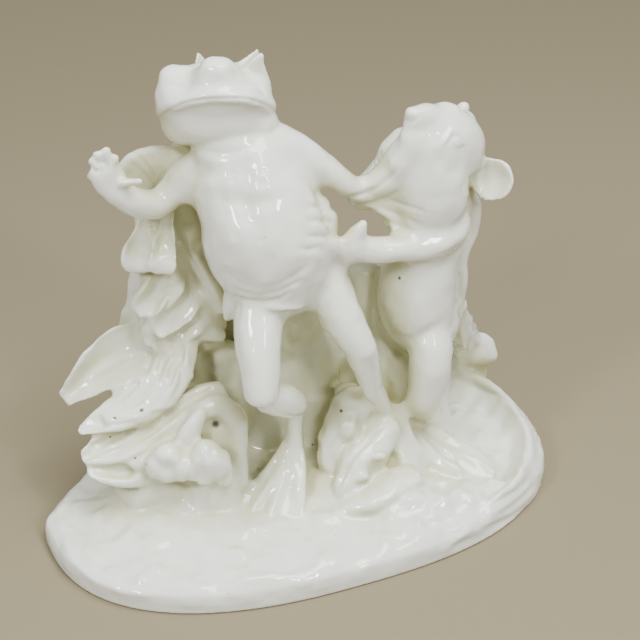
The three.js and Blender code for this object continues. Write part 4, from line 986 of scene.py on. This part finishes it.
def openness(points, faces, normals, reach=(4, 9, 18, 32, 50), voxel=2.5):
    """Share of open space in front of each point: the distance to the nearest surface at some
    way h out along the normal, divided by h, averaged over several h."""
    band = reach[-1] + 2 * voxel
    build = vdb.FloatGrid.createLevelSetFromPolygons
    corners, spacing = faces.astype(np.uint32), vdb.createLinearTransform(voxelSize=voxel)
    grid = build(points.astype(np.float32), triangles=corners, transform=spacing, halfWidth=band / voxel)
    low = np.floor(points.min(0) / voxel).astype(int) - int(band / voxel) - 2
    size = np.ceil(points.max(0) / voxel).astype(int) + int(band / voxel) + 3 - low
    field = np.zeros(size, np.float32)
    grid.copyToArray(field, ijk=tuple(int(v) for v in low))
    total = np.zeros(len(points))
    for h in reach:
        cell = (points + h * normals) / voxel - low
        base = np.floor(cell).astype(int)
        part = cell - base
        value = 0
        for corner in itertools.product((0, 1), repeat=3):
            weight = np.prod(np.where(corner, part, 1 - part), axis=-1)
            value = value + weight * field[tuple((base + corner).T)]
        total += np.clip(value / h, 0, 1)
    return total / len(reach)


def one_piece(points, faces):
    """The largest connected piece of a skin, without the small bubbles that fusing leaves inside:
    each point takes the least mark on the faces round it, until no mark changes."""
    mark = np.arange(len(points))
    while True:
        lower = mark.copy()
        least = mark[faces].min(1)
        for corner in faces.T:
            np.minimum.at(lower, corner, least)
        lower = lower[lower]
        if (lower == mark).all():
            break
        mark = lower
    kept = mark == np.bincount(mark).argmax()
    number = np.cumsum(kept) - 1
    return points[kept], number[faces[kept[faces[:, 0]]]]


def sculpted():
    """The whole group as one skin of points and quads: soft bodies are fused with wide fillets,
    plants and hands with narrow ones, and both then with each other."""
    bodies = frog_trunk() + frog_arms() + frog_legs() + mouse_trunk() + mouse_arms() + mouse_head()[:1]
    heads = frog_head() + mouse_head()
    leaves = lily_leaf() + curled_leaves() + spread_leaves()
    plants = leaves + hood_and_bud() + shell_and_leaf() + back_leaves()
    rock = plinth() + pool_rim() + rockwork() + stalks()
    groups = [
        fused(bodies, BODY_FILLET),
        fused(heads, HEAD_FILLET),
        fused(rock, ROCK_FILLET),
        fused(plants + hands() + feet(), PLANT_FILLET),
        fused(crown() + mouse_ears() + frog_cloth() + mouse_tail(), FINE_FILLET),
    ]
    return fused(groups, JOIN_FILLET)


points, quads = sculpted()
points, quads = one_piece(points.astype(float), quads.astype(np.int64))
if (point_normals(points, quads) * (points - points.mean(0))).sum() < 0:
    quads = quads[:, ::-1]
mean = neighbours_mean(points, quads)
points = points + 0.5 * (mean(points) - points)
thumbed = uneven(points, THUMB_GRAIN) * smooth(points[:, 2], 2, 6)
points = points + point_normals(points, quads) * thumbed[:, None]
points = carved(points, quads, TOOL_MARKS)


def turned(points):
    """Figures' frame in millimetres to the plinth's frame in metres."""
    c, s = math.cos(PLINTH_TURN), math.sin(PLINTH_TURN)
    x, y, z = points.T
    return np.stack([c * x + s * y, c * y - s * x, np.maximum(z, 0)], -1) * MM


def mesh_from(name, points, faces):
    """A mesh whose faces all have the same number of corners, smooth shaded."""
    mesh = bpy.data.meshes.new(name)
    mesh.vertices.add(len(points))
    mesh.vertices.foreach_set("co", points.astype(np.float32).ravel())
    mesh.loops.add(faces.size)
    mesh.loops.foreach_set("vertex_index", faces.astype(np.int32).ravel())
    mesh.polygons.add(len(faces))
    mesh.polygons.foreach_set("loop_start", np.arange(0, faces.size, faces.shape[1], dtype=np.int32))
    mesh.update(calc_edges=True)
    mesh.validate()
    mesh.polygons.foreach_set("use_smooth", np.ones(len(mesh.polygons), bool))
    return mesh


# Thinned while it measures millimetres, because fine marks are lost on a mesh in metres.
skin = mesh_from("frog_and_mouse_group", turned(points) * MM_IN_METRE, quads)
group = bpy.data.objects.new("frog_and_mouse_group", skin)
bpy.context.collection.objects.link(group)
thin = group.modifiers.new("thinned", "DECIMATE")
thin.ratio = min(1.0, MAX_TRIANGLES / (2 * len(quads)))
shaped = bpy.data.meshes.new_from_object(group.evaluated_get(bpy.context.evaluated_depsgraph_get()))
group.modifiers.clear()
group.data = shaped
places = np.empty(3 * len(shaped.vertices), np.float32)
shaped.vertices.foreach_get("co", places)
shaped.vertices.foreach_set("co", places * MM)
shaped.update()
shaped.validate()
shaped.polygons.foreach_set("use_smooth", np.ones(len(shaped.polygons), bool))


def points_of(mesh):
    """A mesh's points in the figures' frame in millimetres, and its triangles."""
    mesh.calc_loop_triangles()
    metres = np.empty(3 * len(mesh.vertices), np.float32)
    mesh.vertices.foreach_get("co", metres)
    triangles = np.empty(3 * len(mesh.loop_triangles), np.int32)
    mesh.loop_triangles.foreach_get("vertices", triangles)
    x, y, z = metres.reshape(-1, 3).T.astype(float) * MM_IN_METRE
    c, s = math.cos(PLINTH_TURN), math.sin(PLINTH_TURN)
    return np.stack([c * x - s * y, c * y + s * x, z], -1), triangles.reshape(-1, 3).astype(np.int64)


final_points, triangles = points_of(shaped)
final_normals = point_normals(final_points, triangles)
# Openness drives painted shade: closed-in places such as the throat and the gaps between the legs are
# coloured darker and olive, partly glaze pooling and partly painted shade.
pooling_and_shade = 1 - openness(final_points, triangles, final_normals)
average = neighbours_mean(final_points, triangles)
# The ground and the plinth below 10 to 17 mm keep less of this pooling and painted shade.
pooling_and_shade = average(average(pooling_and_shade)) * (0.45 + 0.55 * smooth(final_points[:, 2], 10, 17))
attribute = shaped.attributes.new("pooling_and_shade", "FLOAT", "POINT")
attribute.data.foreach_set("value", pooling_and_shade.astype(np.float32))


def linear(hex_colour):
    """sRGB hex to linear RGBA: ((c + 0.055) / 1.055)^2.4 above 0.04045, c / 12.92 below."""
    value = [int(hex_colour[i:i + 2], 16) / 255 for i in (1, 3, 5)]
    return [((c + 0.055) / 1.055) ** 2.4 if c > 0.04045 else c / 12.92 for c in value] + [1.0]


def add(tree, kind, links=(), **settings):
    """Adds a node: settings are attributes or inputs by name, links are (input, socket) pairs."""
    node = tree.nodes.new(kind)
    for name, value in settings.items():
        if hasattr(node, name):
            setattr(node, name, value)
        else:
            node.inputs[name.replace("_", " ")].default_value = value
    for name, socket in links:
        tree.links.new(socket, node.inputs[name])
    return node


# Dark spots right of and above the target, radius in millimetres: the first and largest is painted shade in
# the hole inside the hood, the rest are pinholes and specks in the glaze.
SPECKS_AND_HOLE_SHADE = [(-46.5, -45.9, 2.2), (-78.5, -39.3, 1.3), (-90.9, -43.0, 0.9), (9.5, -40.4, 1.0), (34.4, 18.5, 1.0),
          (-92.6, -51.6, 0.7), (-76.8, -63.5, 0.8), (-80.7, -61.3, 0.7), (61.8, 1.8, 0.9), (-3.1, -55.1, 0.6)]


def glazed_porcelain(points):
    """Hard porcelain, white with a faint grey-green cast, under a clear glossy glaze; hollows turn darker and
    yellowish olive, partly glaze pooling and partly painted shade; a few dark pinholes, and painted shade in
    the hood's hole."""
    material = bpy.data.materials.new("glazed_porcelain")
    material.use_nodes = True
    tree = material.node_tree
    tree.nodes.clear()
    place = add(tree, "ShaderNodeTexCoord").outputs["Object"]
    hollow = add(tree, "ShaderNodeAttribute", attribute_name="pooling_and_shade").outputs["Fac"]
    cloud = add(tree, "ShaderNodeTexNoise", [("Vector", place)], Scale=45.0, Detail=3.0, Roughness=0.6)
    cloudy = add(tree, "ShaderNodeMapRange", [("Value", cloud.outputs["Fac"])], From_Min=0.3, From_Max=0.7,
                 To_Min=-0.07, To_Max=0.07)
    depth = add(tree, "ShaderNodeMath", [(0, hollow), (1, cloudy.outputs["Result"])], operation="ADD")
    # Ramp: white where open, darker yellowish olive where closed in, partly glaze pooling and partly painted
    # shade.
    ramp = add(tree, "ShaderNodeValToRGB", [("Fac", depth.outputs[0])])
    ramp.color_ramp.elements[0].position = 0.1
    ramp.color_ramp.elements[0].color = linear("#f0f2ea")
    ramp.color_ramp.elements[1].position = 0.85
    ramp.color_ramp.elements[1].color = linear("#c3c196")
    middle = ramp.color_ramp.elements.new(0.46)
    middle.color = linear("#dadbbf")
    colour = ramp.outputs["Color"]
    places, depth = on_picture(points)
    open_to_view = depth < nearest_depth(places, depth) + 2
    # Each spot mixes the colour towards near-black: pinholes and specks, and painted shade in the hood's
    # hole.
    for u, v, radius in SPECKS_AND_HOLE_SHADE:
        away = np.hypot(places[:, 0] - u, places[:, 1] - v) + 100 * ~open_to_view
        spot = turned(points[[away.argmin()]])[0]
        gap = add(tree, "ShaderNodeVectorMath", [(0, place)], operation="DISTANCE")
        gap.inputs[1].default_value = spot
        spot_darkness = add(tree, "ShaderNodeMapRange", [("Value", gap.outputs["Value"])], From_Min=SPOT_CORE * radius,
                  From_Max=SPOT_EDGE * radius, To_Min=0.9, To_Max=0.0)
        mix = add(tree, "ShaderNodeMix", [("Factor", spot_darkness.outputs["Result"]), (6, colour)], data_type="RGBA")
        mix.inputs[7].default_value = linear("#2a2a20")
        colour = mix.outputs[2]
    ripple = add(tree, "ShaderNodeTexNoise", [("Vector", place)], Scale=160.0, Detail=2.0, Roughness=0.5)
    bump = add(tree, "ShaderNodeBump", [("Height", ripple.outputs["Fac"])], Strength=0.14, Distance=0.0007)
    shader = add(tree, "ShaderNodeBsdfPrincipled",
                 [("Base Color", colour), ("Normal", bump.outputs["Normal"])], Roughness=0.06, IOR=1.52)
    add(tree, "ShaderNodeOutputMaterial", [("Surface", shader.outputs["BSDF"])])
    return material


group.data.materials.append(glazed_porcelain(final_points))
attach(group, "root")
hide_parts("porcelain_group")

# Floor: plain matt warm paper.
floor_corners = FLOOR_REACH * np.array([[-1, -1, 0], [1, -1, 0], [1, 1, 0], [-1, 1, 0]])
floor = bpy.data.objects.new("floor", mesh_from("floor", floor_corners, np.array([[0, 1, 2, 3]])))
bpy.context.collection.objects.link(floor)
paper = bpy.data.materials.new("matt_paper")
paper.use_nodes = True
paper.node_tree.nodes["Principled BSDF"].inputs["Base Color"].default_value = linear("#877e64")
paper.node_tree.nodes["Principled BSDF"].inputs["Roughness"].default_value = 0.9
floor.data.materials.append(paper)

# Light: a soft room, brighter overhead than at the sides, and two windows above and in front
# whose panes show in the glaze.
world = bpy.data.worlds.new("soft_room")
bpy.context.scene.world = world
world.use_nodes = True
room = world.node_tree
direction = add(room, "ShaderNodeTexCoord").outputs["Generated"]
height = add(room, "ShaderNodeSeparateXYZ", [("Vector", direction)]).outputs["Z"]
level = add(room, "ShaderNodeMapRange", [("Value", height)], From_Min=-0.1, From_Max=1.0, To_Min=0.07,
            To_Max=0.86)
back = room.nodes["Background"]
back.inputs["Color"].default_value = (1.0, 0.985, 0.95, 1)
room.links.new(level.outputs["Result"], back.inputs["Strength"])


def look_from(thing, place):
    """Puts an object at a place in the figures' frame, its -Z towards the target."""
    start, end = (Vector(turned(np.asarray([p], float))[0]) for p in (place, TARGET))
    thing.location = start
    thing.rotation_euler = (end - start).to_track_quat("-Z", "Y").to_euler()


def window(name, place, size, power):
    """Rectangular area light."""
    light = bpy.data.lights.new(name, "AREA")
    light.shape = "RECTANGLE"
    light.size, light.size_y = size
    light.energy = power
    thing = bpy.data.objects.new(name, light)
    bpy.context.collection.objects.link(thing)
    look_from(thing, place)


window("window_left", (-540, -640, 770), (0.16, 0.21), 6)
window("window_right", (470, -700, 800), (0.10, 0.27), 4.8)
window("skylight", (260, -200, 1130), (0.6, 0.5), 15)

camera = bpy.data.objects.new("camera", bpy.data.cameras.new("camera"))
bpy.context.collection.objects.link(camera)
camera.data.lens = LENS
camera.data.sensor_width = 36
look_from(camera, TARGET + DISTANCE * np.array([0, -math.cos(ELEVATION), math.sin(ELEVATION)]))
bpy.context.scene.camera = camera
